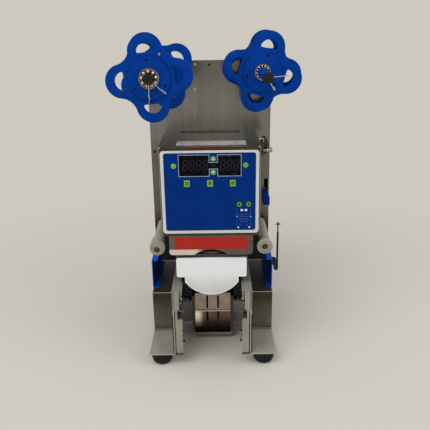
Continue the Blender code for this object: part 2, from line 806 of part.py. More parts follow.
def make_inner_plate(name, side):
    outer = INNER_FACE
    inner = INNER_FACE - INNER_PLATE_SHEET
    low = FOOT_HEIGHT
    plate = rectangle((0.0, low), (REAR_BACK, INNER_PLATE_TOP))
    part = sheet(name, "satin_steel", "YZ", [plate], side * inner, side * outer)
    joint = inner + INNER_PLATE_SHEET / 2
    stop_low = RAIL_BOTTOM - INNER_FLANGE_STOP_DROP
    # The flange runs up past the plate and closes the rail's front end.
    flange = [
        (joint, low),
        (joint, RAIL_TOP),
        (inner - INNER_FLANGE_STOP_WIDTH, RAIL_TOP),
        (inner - INNER_FLANGE_STOP_WIDTH, stop_low),
        (inner - INNER_FLANGE_MIDDLE_WIDTH, stop_low),
        (inner - INNER_FLANGE_MIDDLE_WIDTH, INNER_FLANGE_NOTCH_TOP),
        (inner - INNER_FLANGE_NOTCH_WIDTH, INNER_FLANGE_NOTCH_TOP),
        (inner - INNER_FLANGE_NOTCH_WIDTH, INNER_FLANGE_NOTCH_LOW),
        (inner - INNER_FLANGE_LOW_WIDTH, INNER_FLANGE_NOTCH_LOW),
        (inner - INNER_FLANGE_LOW_WIDTH, low),
    ]
    fold = sheet_cutter(
        name + "_flange", "XZ", [mirror_loop(flange, side)], 0.0, INNER_FLANGE_SHEET
    )
    return join(part, fold)


def make_foot(name, x, depth):
    top = FOOT_HEIGHT - GAP
    bulge = FOOT_RADIUS - FOOT_FACE_RADIUS
    profile = [(0.0, top), (FOOT_RADIUS, top)]
    for i in range(FOOT_STEPS + 1):
        angle = math.pi / 2 * i / FOOT_STEPS
        radius = FOOT_FACE_RADIUS + bulge * math.cos(angle)
        profile.append((radius, FOOT_SHOULDER * (1 - math.sin(angle))))
    profile.append((0.0, 0.0))
    return turned(name, "rubber", "Z", place(x, depth, 0.0), profile)


def make_side_cover(name, side):
    outer = BASE_WIDTH / 2 + COVER_OVERHANG
    inner = outer - COVER_SHEET
    lip = outer - COVER_FLANGE
    outline = [
        (outer, COVER_BOTTOM),
        (outer, COVER_TOP),
        (lip, COVER_TOP),
        (lip, COVER_TOP - COVER_SHEET),
        (inner, COVER_TOP - COVER_SHEET),
        (inner, COVER_BOTTOM + COVER_SHEET),
        (lip, COVER_BOTTOM + COVER_SHEET),
        (lip, COVER_BOTTOM),
    ]
    return sheet(name, "blue_paint", "XZ", [mirror_loop(outline, side)], COVER_FRONT, REAR_BACK)


def make_lower_panel():
    half = INNER_FACE - INNER_PLATE_SHEET - GAP
    outline = rectangle((-half, LOWER_PANEL_FLOOR_GAP), (half, INNER_PLATE_TOP))
    end = LOWER_PANEL_DEPTH + LOWER_PANEL_SHEET
    return sheet("lower_back_panel", "satin_steel", "XZ", [outline], LOWER_PANEL_DEPTH, end)


def make_vent_frame():
    half = FRAME_WIDTH / 2
    round_low = (FRAME_CORNER, FRAME_CORNER, 0, 0)
    outer = rounded_rectangle((-half, FRAME_BOTTOM), (half, FRAME_TOP), round_low)
    lip_half = VENT_WIDTH / 2 + GAP
    lip_bottom = VENT_BOTTOM - GAP
    inside_low = FRAME_CORNER - FRAME_SHEET
    inner_half = half - FRAME_SHEET
    # U-shaped walls: the outline runs down the outside and back up the inside
    wall_inner = rounded_rectangle(
        (-inner_half, FRAME_BOTTOM + FRAME_SHEET),
        (inner_half, FRAME_TOP + FRAME_SHEET),
        (inside_low, inside_low, 0, 0),
    )
    front = VENT_FRONT + FRAME_LIP_DEPTH / 2
    inside = VENT_FRONT + FRAME_LIP_DEPTH
    back = LOWER_PANEL_DEPTH
    body = sheet("vent_frame", "plate_steel", "XZ", [outer], front, back - GAP)
    hollow = sheet_cutter("vent_frame_hollow", "XZ", [wall_inner], inside, back)
    mouth = block_cutter(
        "vent_frame_mouth",
        (-lip_half, lip_half),
        (VENT_FRONT - FRAME_LIP_DEPTH, VENT_FRONT + 2 * FRAME_LIP_DEPTH),
        (lip_bottom, FRAME_TOP + FRAME_SHEET),
    )
    rod = rod_cutter(
        "vent_frame_rod_hole",
        "X",
        place(0.0, CROSS_ROD_DEPTH, CROSS_ROD_HEIGHT),
        CROSS_ROD_RADIUS + GAP,
        -FRAME_WIDTH,
        FRAME_WIDTH,
    )
    return cut(body, hollow, mouth, rod)


def make_vent_cover():
    half = VENT_WIDTH / 2
    middle = (VENT_BOTTOM + VENT_SEAM) / 2
    rise = (VENT_SEAM - VENT_BOTTOM) / 2
    front = []
    for i in range(-VENT_BULGE_STEPS, VENT_BULGE_STEPS + 1):
        share = i / VENT_BULGE_STEPS
        front.append((VENT_FRONT + VENT_BULGE * share**2, middle + rise * share))
    flat = VENT_FRONT + VENT_BULGE / 2
    front += [(flat, VENT_SEAM + VENT_SEAM_WIDTH), (flat, VENT_TOP)]
    back = [(depth + VENT_SHEET, z) for depth, z in reversed(front)]
    rear = VENT_FRONT + VENT_RETURN + VENT_BULGE
    top_return = [(rear, VENT_TOP), (rear, VENT_TOP - VENT_SHEET)]
    low_return = [(rear, VENT_BOTTOM + VENT_SHEET), (rear, VENT_BOTTOM)]
    back[0] = (back[0][0], VENT_TOP - VENT_SHEET)
    back[-1] = (back[-1][0], VENT_BOTTOM + VENT_SHEET)
    outline = front + top_return + back + low_return
    part = sheet("vent_cover", "bronze_steel", "YZ", [outline], -half, half)
    slots = []
    for side in (-1, 1):
        centre = side * VENT_SLOT_OFFSET
        across = (centre - VENT_SLOT_WIDTH / 2, centre + VENT_SLOT_WIDTH / 2)
        reach = (VENT_FRONT - VENT_SHEET, VENT_FRONT + VENT_BULGE + 1.5 * VENT_SHEET)
        high = (VENT_SEAM + VENT_SLOT_MARGIN, VENT_TOP - VENT_SLOT_MARGIN)
        low = (VENT_BOTTOM + VENT_SLOT_RISE, VENT_SEAM - VENT_SLOT_SEAM_MARGIN)
        slots.append(block_cutter(f"slot_high_{side}", across, reach, high))
        slots.append(block_cutter(f"slot_low_{side}", across, reach, low))
    return cut(part, *slots)


def make_cross_rod():
    half = INNER_FACE - INNER_PLATE_SHEET - GAP
    profile = [(0, half), (CROSS_ROD_RADIUS, half), (CROSS_ROD_RADIUS, -half), (0, -half)]
    centre = place(0.0, CROSS_ROD_DEPTH, CROSS_ROD_HEIGHT)
    return turned("cross_rod", "chrome", "X", centre, profile, segments=SMALL_ROUND)


def make_base():
    for label, side in (("left", -1), ("right", 1)):
        make_base_side(f"base_side_{label}", side)
        make_inner_plate(f"inner_plate_{label}", side)
        make_side_cover(f"side_cover_{label}", side)
        x = side * (BASE_WIDTH / 2 - FOOT_INSET)
        make_foot(f"foot_front_{label}", x, FOOT_RADIUS)
        make_foot(f"foot_rear_{label}", x, BASE_DEPTH - FOOT_RADIUS)
    make_lower_panel()
    make_vent_frame()
    make_vent_cover()
    make_cross_rod()


def make_deck():
    return block(
        "deck_plate",
        "plate_steel",
        (-DECK_WIDTH / 2, DECK_WIDTH / 2),
        (PLATE_BACK + 2 * GAP, REAR_BACK - REAR_SHEET - GAP),
        (DECK_BOTTOM, DECK_TOP),
    )


def make_back_plate():
    half = PLATE_WIDTH / 2
    notch = BASE_WIDTH / 2 + COVER_OVERHANG - COVER_FLANGE - GAP
    low = DECK_TOP + GAP
    shoulder = COVER_TOP + GAP
    outline = [
        (-notch, low),
        (notch, low),
        (notch, shoulder),
        (half, shoulder),
        (half, PLATE_TOP),
        (-half, PLATE_TOP),
        (-half, shoulder),
        (-notch, shoulder),
    ]
    slot_half = SLOT_WIDTH / 2
    side_hole = (-half + PLATE_SIDE_HOLE_INSET, HEAD_TOP - PLATE_SIDE_HOLE_DROP)
    holes = [
        circle((-REEL_OFFSET, REEL_HEIGHT), SHAFT_HOLE),
        circle((REEL_OFFSET, REEL_HEIGHT), SHAFT_HOLE),
        circle((0.0, CAM_AXIS_HEIGHT), SHAFT_HOLE),
        circle((-ROLLER_OFFSET, ROLLER_HEIGHT), ROLLER_SPINDLE_RADIUS + GAP, SMALL_ROUND),
        circle((ROLLER_OFFSET, ROLLER_HEIGHT), ROLLER_SPINDLE_RADIUS + GAP, SMALL_ROUND),
        rounded_rectangle(
            (SENSOR_OFFSET - slot_half, SLOT_LOW),
            (SENSOR_OFFSET + slot_half, SLOT_HIGH),
            (slot_half,) * 4,
        ),
        rectangle(
            (-RACK_INSIDE - RACK_WIDTH - RACK_HOLE_MARGIN, RACK_BOTTOM - RACK_HOLE_MARGIN),
            (-RACK_INSIDE + RACK_HOLE_MARGIN, RACK_TIP + RACK_HOLE_MARGIN),
        ),
        circle((0.0, PLATE_TOP - PLATE_HOLE_INSET), PLATE_HOLE_RADIUS, TINY_ROUND),
        circle(side_hole, PLATE_HOLE_RADIUS, TINY_ROUND),
    ]
    return sheet("back_plate", "plate_steel", "XZ", [outline, *holes], PLATE_FRONT, PLATE_BACK)


def make_rear_cover():
    half = PLATE_WIDTH / 2
    low = COVER_TOP + GAP
    front_top = PLATE_TOP - REAR_TOP_DROP
    outline = [
        (REAR_FRONT, low),
        (REAR_BACK, low),
        (REAR_BACK, front_top - REAR_TOP_SLOPE),
        (REAR_FRONT, front_top),
    ]
    part = sheet("rear_cover", "plate_steel", "YZ", [outline], -half, half)
    slope = REAR_TOP_SLOPE / (REAR_BACK - REAR_FRONT)
    inside = [
        (REAR_FRONT - REAR_SHEET, low - REAR_SHEET),
        (REAR_BACK - REAR_SHEET, low - REAR_SHEET),
        (REAR_BACK - REAR_SHEET, front_top - REAR_TOP_SLOPE + slope * REAR_SHEET - REAR_SHEET),
        (REAR_FRONT - REAR_SHEET, front_top + slope * REAR_SHEET - REAR_SHEET),
    ]
    hollow = sheet_cutter(
        "rear_cover_hollow", "YZ", [inside], -half + REAR_SHEET, half - REAR_SHEET
    )
    cut(part, hollow)
    inlet_low = INLET_HEIGHT - INLET_TALL / 2 - GAP
    inlet = block_cutter(
        "inlet_hole",
        (INLET_OFFSET - INLET_WIDTH / 2 - GAP, INLET_OFFSET + INLET_WIDTH / 2 + GAP),
        (REAR_BACK - CUT_REACH, REAR_BACK + CUT_REACH),
        (inlet_low, ROCKER_HEIGHT + SWITCH_FRAME_RISE),
    )
    cut(part, inlet)
    for row in range(LOUVRE_COUNT):
        z = HEAD_TOP - LOUVRE_DROP + row * LOUVRE_PITCH
        slot = block_cutter(
            f"louvre_rear_{row}",
            (-LOUVRE_LENGTH / 2, LOUVRE_LENGTH / 2),
            (REAR_BACK - CUT_REACH, REAR_BACK + CUT_REACH),
            (z, z + LOUVRE_HEIGHT),
        )
        cut(part, slot)
        middle = (REAR_FRONT + REAR_BACK) / 2
        side_slot = block_cutter(
            f"louvre_side_{row}",
            (-half - CUT_REACH, half + CUT_REACH),
            (middle - LOUVRE_LENGTH / 2, middle + LOUVRE_LENGTH / 2),
            (z, z + LOUVRE_HEIGHT),
        )
        cut(part, side_slot)
    return part


def make_head_casing():
    half = HEAD_WIDTH / 2
    back = PLATE_FRONT - GAP
    front_outline = rounded_rectangle(
        (-half, HEAD_FRONT), (half, back), (HEAD_BEND, HEAD_BEND, 0, 0)
    )
    part = sheet("head_casing", "satin_steel", "XY", [front_outline], HEAD_BOTTOM, HEAD_TOP)
    inside = rounded_rectangle(
        (-half + HEAD_SHEET, HEAD_FRONT + HEAD_SHEET),
        (half - HEAD_SHEET, back + HEAD_SHEET),
        (HEAD_BEND - HEAD_SHEET, HEAD_BEND - HEAD_SHEET, 0, 0),
    )
    hollow = sheet_cutter(
        "head_hollow", "XY", [inside], HEAD_BOTTOM - HEAD_SHEET, HEAD_TOP - HEAD_SHEET
    )
    cut(part, hollow)
    for side in (-1, 1):
        centre = side * TOP_SLOT_OFFSET
        slot = block_cutter(
            f"top_slot_{side}",
            (centre - TOP_SLOT_LENGTH / 2, centre + TOP_SLOT_LENGTH / 2),
            (back - TOP_SLOT_SETBACK - TOP_SLOT_WIDTH, back - TOP_SLOT_SETBACK),
            (HEAD_TOP - 2 * HEAD_SHEET, HEAD_TOP + HEAD_SHEET),
        )
        cut(part, slot)
    pin_hole = rod_cutter(
        "latch_hole",
        "X",
        place(half, LATCH_DEPTH, LATCH_HEIGHT),
        LATCH_PIN_RADIUS + RUNNING_GAP,
        -CUT_REACH,
        CUT_REACH,
        SMALL_ROUND,
    )
    return cut(part, pin_hole)


def make_control_panel():
    half = PANEL_WIDTH / 2
    outline = rounded_rectangle((-half, PANEL_BOTTOM), (half, PANEL_TOP), (PANEL_CORNER,) * 4)
    back = HEAD_FRONT - GAP
    return sheet("control_panel", "panel_film", "XZ", [outline], back - PANEL_THICKNESS, back)


def make_display_window():
    high = PANEL_TOP - WINDOW_DROP
    low = high - WINDOW_TALL
    neck_high = PANEL_TOP - NECK_DROP
    neck_low = neck_high - NECK_TALL
    outline = [
        (WINDOW_LEFT[0], low),
        (WINDOW_LEFT[1], low),
        (WINDOW_LEFT[1], neck_low),
        (WINDOW_RIGHT[0], neck_low),
        (WINDOW_RIGHT[0], low),
        (WINDOW_RIGHT[1], low),
        (WINDOW_RIGHT[1], high),
        (WINDOW_RIGHT[0], high),
        (WINDOW_RIGHT[0], neck_high),
        (WINDOW_LEFT[1], neck_high),
        (WINDOW_LEFT[1], high),
        (WINDOW_LEFT[0], high),
    ]
    back = HEAD_FRONT - GAP - PANEL_THICKNESS - GAP
    return sheet("display_window", "window", "XZ", [outline], back - WINDOW_THICKNESS, back)


def make_control_board():
    half = HEAD_WIDTH / 2 - BOARD_SIDE_MARGIN
    low = HEAD_BOTTOM + BOARD_LOW_MARGIN
    high = HEAD_TOP - BOARD_TOP_MARGIN
    front = HEAD_FRONT + HEAD_SHEET + GAP
    board = front + STANDOFF_LENGTH
    part = block(
        "control_board",
        "circuit_board",
        (-half, half),
        (board, board + BOARD_THICKNESS),
        (low, high),
    )
    for x in (-half + STANDOFF_INSET, half - STANDOFF_INSET):
        for z in (low + STANDOFF_INSET, high - STANDOFF_INSET):
            leg = rod_cutter(
                "board_standoff",
                "Y",
                place(x, front, z),
                STANDOFF_RADIUS,
                0.0,
                STANDOFF_LENGTH + BOARD_THICKNESS / 2,
                TINY_ROUND,
            )
            join(part, leg)
    return part


def make_chin_plate():
    half = CHIN_WIDTH / 2
    top = HEAD_BOTTOM + CHIN_HIDDEN_HEIGHT
    chord = CHIN_ARC_WIDTH / 2
    radius = (chord**2 + CHIN_ARC_HEIGHT**2) / (2 * CHIN_ARC_HEIGHT)
    sweep = math.asin(chord / radius)
    arch_centre = (0.0, CHIN_BOTTOM + CHIN_ARC_HEIGHT - radius)
    arch = arc(arch_centre, radius, math.pi / 2 + sweep, math.pi / 2 - sweep, ARC_STEPS)
    low_left = arc(
        (-half + CHIN_CORNER, CHIN_BOTTOM + CHIN_CORNER), CHIN_CORNER, math.pi, 1.5 * math.pi, 4
    )
    low_right = arc(
        (half - CHIN_CORNER, CHIN_BOTTOM + CHIN_CORNER), CHIN_CORNER, 1.5 * math.pi, 2 * math.pi, 4
    )
    outline = low_left + arch + low_right + [(half, top), (-half, top)]
    front = HEAD_FRONT + HEAD_SHEET + GAP
    return sheet("chin_plate", "satin_steel", "XZ", [outline], front, front + CHIN_SHEET)


def make_film_plate():
    half = FILM_PLATE_WIDTH / 2
    front = HEAD_FRONT + HEAD_SHEET + GAP + CHIN_SHEET + GAP
    outline = rectangle((-half, front), (half, PLATE_FRONT - GAP))
    hole = circle((0.0, STATION_DEPTH), CUTTER_RADIUS + CUTTER_HOLE_CLEARANCE, FINE_ROUND)
    loops = [outline, hole]
    return sheet("film_plate", "black_plastic", "XY", loops, FILM_PLATE_BOTTOM, FILM_PLATE_TOP)


def make_press_bracket():
    half = SHELF_WIDTH / 2
    back = PLATE_FRONT - GAP
    front = STATION_DEPTH - BEAM_DEPTH / 2
    outline = rectangle((-half, front), (half, back))
    hole = circle((0.0, STATION_DEPTH), FOLLOWER_RADIUS + OVERLAP)
    top = SHELF_TOP
    part = sheet("press_bracket", "plate_steel", "XY", [outline, hole], SHELF_BOTTOM, top)
    flange = block_cutter(
        "bracket_flange",
        (-half, half),
        (back - SHELF_FLANGE_SHEET, back),
        (top - OVERLAP, top + SHELF_FLANGE),
    )
    shaft_room = rod_cutter(
        "bracket_shaft_room",
        "Y",
        place(0.0, back, CAM_AXIS_HEIGHT),
        CAM_SHAFT_RADIUS + SHAFT_ROOM,
        -CUT_REACH,
        CUT_REACH,
    )
    join(part, flange)
    cut(part, shaft_room)
    post_base = FILM_PLATE_TOP + GAP
    for side in (-1, 1):
        post = rod_cutter(
            f"post_{side}",
            "Z",
            place(side * POST_OFFSET, STATION_DEPTH, 0.0),
            POST_RADIUS,
            post_base,
            top + POST_TOP,
        )
        join(part, post)
    return part


def make_press_beam():
    half = BEAM_WIDTH / 2
    y = (STATION_DEPTH - BEAM_DEPTH / 2, STATION_DEPTH + BEAM_DEPTH / 2)
    outline = rounded_rectangle((-half, y[0]), (half, y[1]), (BEAM_CORNER,) * 4, 3)
    holes = [
        circle((side * POST_OFFSET, STATION_DEPTH), POST_RADIUS + RUNNING_GAP)
        for side in (-1, 1)
    ]
    top = BEAM_TOP
    part = sheet("press_beam", "aluminium", "XY", [outline, *holes], BEAM_BOTTOM, top)
    follower_top = CAM_AXIS_HEIGHT - CAM_BASE_RADIUS - RUNNING_GAP
    profile = []
    for i in range(FOLLOWER_CROWN_STEPS + 1):
        share = i / FOLLOWER_CROWN_STEPS
        profile.append((FOLLOWER_RADIUS * share, follower_top - FOLLOWER_CROWN * share**2))
    profile += [(FOLLOWER_RADIUS, top - OVERLAP), (0.0, top - OVERLAP)]
    mesh = turned_mesh("follower_stem", profile, False, ROUND)
    stem = add_cutter("follower_stem", mesh, place(0.0, STATION_DEPTH, 0.0))
    return join(part, stem)


def make_heater_plate():
    top = HEATER_BOTTOM + HEATER_THICKNESS
    stem_top = BEAM_BOTTOM - GAP
    profile = [
        (0.0, stem_top),
        (HEATER_STEM_RADIUS, stem_top),
        (HEATER_STEM_RADIUS, top),
        (HEATER_RADIUS, top),
        (HEATER_RADIUS, HEATER_BOTTOM),
        (0.0, HEATER_BOTTOM),
    ]
    return turned("heater_plate", "aluminium", "Z", place(0.0, STATION_DEPTH, 0.0), profile)


def make_cutter_ring():
    bottom = HEATER_BOTTOM - CUTTER_RISE
    top = bottom + CUTTER_HEIGHT
    inner = CUTTER_RADIUS - CUTTER_WALL
    bore = HEATER_STEM_RADIUS + GAP
    profile = [
        (bore, top),
        (CUTTER_RADIUS, top),
        (CUTTER_RADIUS, bottom),
        (inner, bottom),
        (inner, top - CUTTER_TOP_THICKNESS),
        (bore, top - CUTTER_TOP_THICKNESS),
    ]
    centre = place(0.0, STATION_DEPTH, 0.0)
    steps = 2 * CUTTER_TEETH
    part = turned("cutter_ring", "satin_steel", "Z", centre, profile, True, steps)
    # Every second vertex of the lower edge is lifted, which leaves pointed teeth.
    for vertex in part.data.vertices:
        if vertex.co.z < bottom + 1e-6:
            turn = math.atan2(vertex.co.y, vertex.co.x) / (2 * math.pi) * steps
            if round(turn) % 2:
                vertex.co.z += CUTTER_TOOTH_DEPTH
    return part


def make_press_cam():
    """A cam of constant rise, then a quick return and a dwell before the rise starts again."""
    points = []
    for i in range(CAM_RISE_STEPS + 1):
        share = i / CAM_RISE_STEPS
        radius = CAM_BASE_RADIUS + PRESS_STROKE * share
        angle = CAM_START + CAM_SWEEP * share
        points.append((radius * math.cos(angle), radius * math.sin(angle)))
    for i in range(1, CAM_RETURN_STEPS + 1):
        share = i / CAM_RETURN_STEPS
        radius = CAM_BASE_RADIUS + PRESS_STROKE * (1 - share)
        angle = CAM_START + CAM_SWEEP + CAM_RETURN * share
        points.append((radius * math.cos(angle), radius * math.sin(angle)))
    dwell_start = CAM_START + CAM_SWEEP + CAM_RETURN
    dwell_end = CAM_START + 2 * math.pi
    points += arc((0.0, 0.0), CAM_BASE_RADIUS, dwell_start, dwell_end, CAM_DWELL_STEPS)[1:-1]
    loop = shift_loop(points, (0.0, CAM_AXIS_HEIGHT))
    start = STATION_DEPTH - CAM_THICKNESS / 2
    end = STATION_DEPTH + CAM_THICKNESS / 2
    part = sheet("press_cam", "satin_steel", "XZ", [loop], start, end)
    shaft = rod_cutter(
        "cam_shaft",
        "Y",
        place(0.0, 0.0, CAM_AXIS_HEIGHT),
        CAM_SHAFT_RADIUS,
        start - CAM_SHAFT_NOSE,
        PLATE_BACK + MOTOR_BORE_DEPTH,
    )
    return join(part, shaft)


def motor(name, centre, radius, length, bore):
    """A gear motor on the back plate's rear face; its bore takes the driven shaft."""
    front = PLATE_BACK + GAP
    bottom = front + MOTOR_BORE_DEPTH + GAP
    back = front + length
    gearbox_back = front + GEARBOX_SHARE * length
    profile = [
        (0.0, back),
        (MOTOR_CAN_SHARE * radius, back),
        (MOTOR_CAN_SHARE * radius, gearbox_back),
        (radius, gearbox_back),
        (radius, front),
        (bore, front),
        (bore, bottom),
        (0.0, bottom),
    ]
    x, z = centre
    return turned(name, "motor_metal", "Y", place(x, 0.0, z), profile)


def make_head():
    make_head_casing()
    make_control_panel()
    make_display_window()
    make_control_board()
    make_chin_plate()
    make_film_plate()
    make_press_bracket()
    beam = make_press_beam()
    heater = make_heater_plate()
    cutter = make_cutter_ring()
    pivot("press_slide", place(0.0, STATION_DEPTH, BEAM_BOTTOM), beam, heater, cutter)
    cam = make_press_cam()
    pivot("cam_axis", place(0.0, STATION_DEPTH, CAM_AXIS_HEIGHT), cam)
    motor(
        "press_motor",
        (0.0, CAM_AXIS_HEIGHT),
        PRESS_MOTOR_RADIUS,
        PRESS_MOTOR_LENGTH,
        CAM_SHAFT_RADIUS + RUNNING_GAP,
    )


def make_tray_rail(name, side):
    outer = RAIL_OUTSIDE
    inner = RAIL_OUTSIDE - RAIL_WIDTH
    low = RAIL_BOTTOM
    high = RAIL_TOP
    outline = [
        (outer, low),
        (outer, high),
        (inner, high),
        (inner, high - RAIL_SHEET),
        (outer - RAIL_SHEET, high - RAIL_SHEET),
        (outer - RAIL_SHEET, low + RAIL_SHEET),
        (inner, low + RAIL_SHEET),
        (inner, low),
    ]
    return sheet(name, "plate_steel", "XZ", [mirror_loop(outline, side)], RAIL_FRONT, RAIL_BACK)


def make_tray_arm(name, side):
    shoe_outer = RAIL_OUTSIDE - RAIL_SHEET - RUNNING_GAP
    shoe_low = RAIL_BOTTOM + RAIL_SHEET + RUNNING_GAP
    shoe_high = RAIL_TOP - RAIL_SHEET - RUNNING_GAP
    top = TRAY_BOTTOM - GAP
    arm = rectangle((ARM_OUTSIDE - ARM_SHEET, shoe_low), (ARM_OUTSIDE, top))
    part = sheet(name, "satin_steel", "XZ", [mirror_loop(arm, side)], ARM_FRONT, ARM_BACK)
    # The shoe at the arm's rear end stays in the rail over the tray's whole travel.
    slider = rectangle((ARM_OUTSIDE - ARM_SHEET / 2, shoe_low), (shoe_outer, shoe_high))
    shoe = sheet_cutter(name + "_shoe", "XZ", [mirror_loop(slider, side)], SHOE_FRONT, ARM_BACK)
    return join(part, shoe)


def make_tray_plate():
    half = TRAY_WIDTH / 2
    corners = (0, 0, TRAY_CORNER, TRAY_CORNER)
    outline = rounded_rectangle((-half, TRAY_FRONT), (half, TRAY_BACK), corners)
    hole = circle((0.0, STATION_DEPTH), CUP_RING_OUTER + GAP, FINE_ROUND)
    part = sheet("tray_plate", "satin_steel", "XY", [outline, hole], TRAY_BOTTOM, TRAY_TOP)
    # The front edge is folded down to carry the shield.
    fold = rectangle((-half, TRAY_BOTTOM - TRAY_LIP_TALL), (half, TRAY_BOTTOM + TRAY_THICKNESS / 2))
    lip = sheet_cutter("tray_plate_lip", "XZ", [fold], TRAY_FRONT, TRAY_FRONT + TRAY_LIP_SHEET)
    return join(part, lip)


def make_cup_ring():
    outer = CUP_RING_OUTER
    flange = outer + CUP_RING_FLANGE
    flange_low = TRAY_TOP + GAP
    top = flange_low + CUP_RING_FLANGE_THICKNESS
    bottom = TRAY_BOTTOM - CUP_RING_DROP
    profile = [
        (CUP_RADIUS, top),
        (flange, top),
        (flange, flange_low),
        (outer, flange_low),
        (outer, bottom),
        (CUP_RADIUS, bottom),
    ]
    centre = place(0.0, STATION_DEPTH, 0.0)
    return turned("cup_ring", "aluminium", "Z", centre, profile, True, FINE_ROUND)


def make_tray_shield():
    half = TRAY_WIDTH / 2
    low_half = SHIELD_LOWER_WIDTH / 2
    side_low = SHIELD_STEP - SHIELD_STEP_SIDE
    sag = side_low - SHIELD_LOW
    radius = (low_half**2 + sag**2) / (2 * sag)
    sweep = math.asin(low_half / radius)
    bottom = 1.5 * math.pi
    belly = arc((0.0, SHIELD_LOW + radius), radius, bottom - sweep, bottom + sweep, ROUND)
    upper = rounded_rectangle(
        (-half, SHIELD_STEP), (half, SHIELD_TOP), (SHIELD_CORNER,) * 4, 4
    )
    low_corner = upper[:5]
    rest = upper[5:]
    outline = belly + [(low_half, SHIELD_STEP)] + rest + low_corner + [(-low_half, SHIELD_STEP)]
    back = TRAY_FRONT - GAP
    return sheet("tray_shield", "white_plastic", "XZ", [outline], back - SHIELD_THICKNESS, back)


def involute_tooth(tip, root):
    """Half-tooth flank points (radius, half angle) of the pinion, from root to tip."""
    base = PINION_RADIUS * math.cos(PRESSURE_ANGLE)
    spread = math.tan(PRESSURE_ANGLE) - PRESSURE_ANGLE
    half_pitch_angle = math.pi / (2 * PINION_TEETH) - BACKLASH / (2 * PINION_RADIUS)
    points = [(root, half_pitch_angle + spread)]
    start = max(base, root)
    for i in range(FLANK_STEPS + 1):
        radius = start + (tip - start) * i / FLANK_STEPS
        roll = math.acos(min(1.0, base / radius))
        points.append((radius, half_pitch_angle + spread - (math.tan(roll) - roll)))
    return points


def make_tray_pinion():
    tip = PINION_RADIUS + PINION_ADDENDUM
    root = PINION_RADIUS - DEDENDUM
    flank = involute_tooth(tip, root)
    loop = []
    for tooth in range(PINION_TEETH):
        # A tooth gap faces straight down onto a tooth of the rack.
        centre = -math.pi / 2 + (tooth + 0.5) * 2 * math.pi / PINION_TEETH
        loop += [
            (radius * math.cos(centre - half), radius * math.sin(centre - half))
            for radius, half in flank
        ]
        loop += [
            (radius * math.cos(centre + half), radius * math.sin(centre + half))
            for radius, half in reversed(flank)
        ]
    loop = shift_loop(loop, (PINION_DEPTH, PINION_HEIGHT))
    bore = circle((PINION_DEPTH, PINION_HEIGHT), PINION_BORE, SMALL_ROUND)
    outer = -RACK_INSIDE - RACK_WIDTH
    inner = -RACK_INSIDE
    return sheet("tray_pinion", "satin_steel", "YZ", [loop, bore], outer, inner)


def make_tray_rack():
    pitch = math.pi * MODULE
    half_tooth = pitch / 4 - BACKLASH / 2
    lean = math.tan(PRESSURE_ANGLE)
    front = ARM_FRONT
    # One tooth is centred under the pinion; the rest follow at the pitch.
    first = math.ceil((PINION_RADIUS - PINION_SETBACK) / pitch)
    last = math.floor((RACK_BACK - RACK_TOOTH_MARGIN - PINION_DEPTH) / pitch)
    low_half = half_tooth + DEDENDUM * lean
    high_half = half_tooth - RACK_ADDENDUM * lean
    top = []
    for index in range(first, last + 1):
        centre = PINION_DEPTH + index * pitch
        top += [
            (centre - low_half, RACK_ROOT),
            (centre - high_half, RACK_TIP),
            (centre + high_half, RACK_TIP),
            (centre + low_half, RACK_ROOT),
        ]
    outline = [(front, RACK_BOTTOM), (RACK_BACK, RACK_BOTTOM), (RACK_BACK, RACK_ROOT)]
    outline += list(reversed(top))
    outline += [(front, RACK_ROOT)]
    outer = -RACK_INSIDE - RACK_WIDTH
    inner = -RACK_INSIDE
    return sheet("tray_rack", "satin_steel", "YZ", [outline], outer, inner)


def make_tray_motor():
    shaft_left = -RACK_INSIDE - RACK_WIDTH
    face = -RACK_INSIDE + TRAY_MOTOR_GAP
    box_end = face + TRAY_MOTOR_BOX
    half = TRAY_MOTOR_SIZE / 2
    part = block(
        "tray_motor",
        "motor_metal",
        (face, box_end),
        (PINION_DEPTH - half, PINION_DEPTH + half),
        (DECK_TOP + GAP, PINION_HEIGHT + half),
    )
    can = rod_cutter(
        "tray_motor_can",
        "X",
        place(0.0, PINION_DEPTH, PINION_HEIGHT),
        TRAY_MOTOR_RADIUS,
        box_end - OVERLAP,
        box_end + TRAY_MOTOR_LENGTH,
    )
    shaft = rod_cutter(
        "tray_motor_shaft",
        "X",
        place(0.0, PINION_DEPTH, PINION_HEIGHT),
        PINION_BORE - GAP,
        shaft_left,
        face + OVERLAP,
        SMALL_ROUND,
    )
    return join(part, can, shaft)


def make_tray():
    moving = []
    for label, side in (("left", -1), ("right", 1)):
        make_tray_rail(f"tray_rail_{label}", side)
        moving.append(make_tray_arm(f"tray_arm_{label}", side))
    moving += [make_tray_plate(), make_cup_ring(), make_tray_shield(), make_tray_rack()]
    pivot("tray_slide", place(0.0, TRAY_FRONT, TRAY_BOTTOM), *moving)
    pinion = make_tray_pinion()
    pivot("pinion_axis", place(-RACK_INSIDE, PINION_DEPTH, PINION_HEIGHT), pinion)
    make_tray_motor()


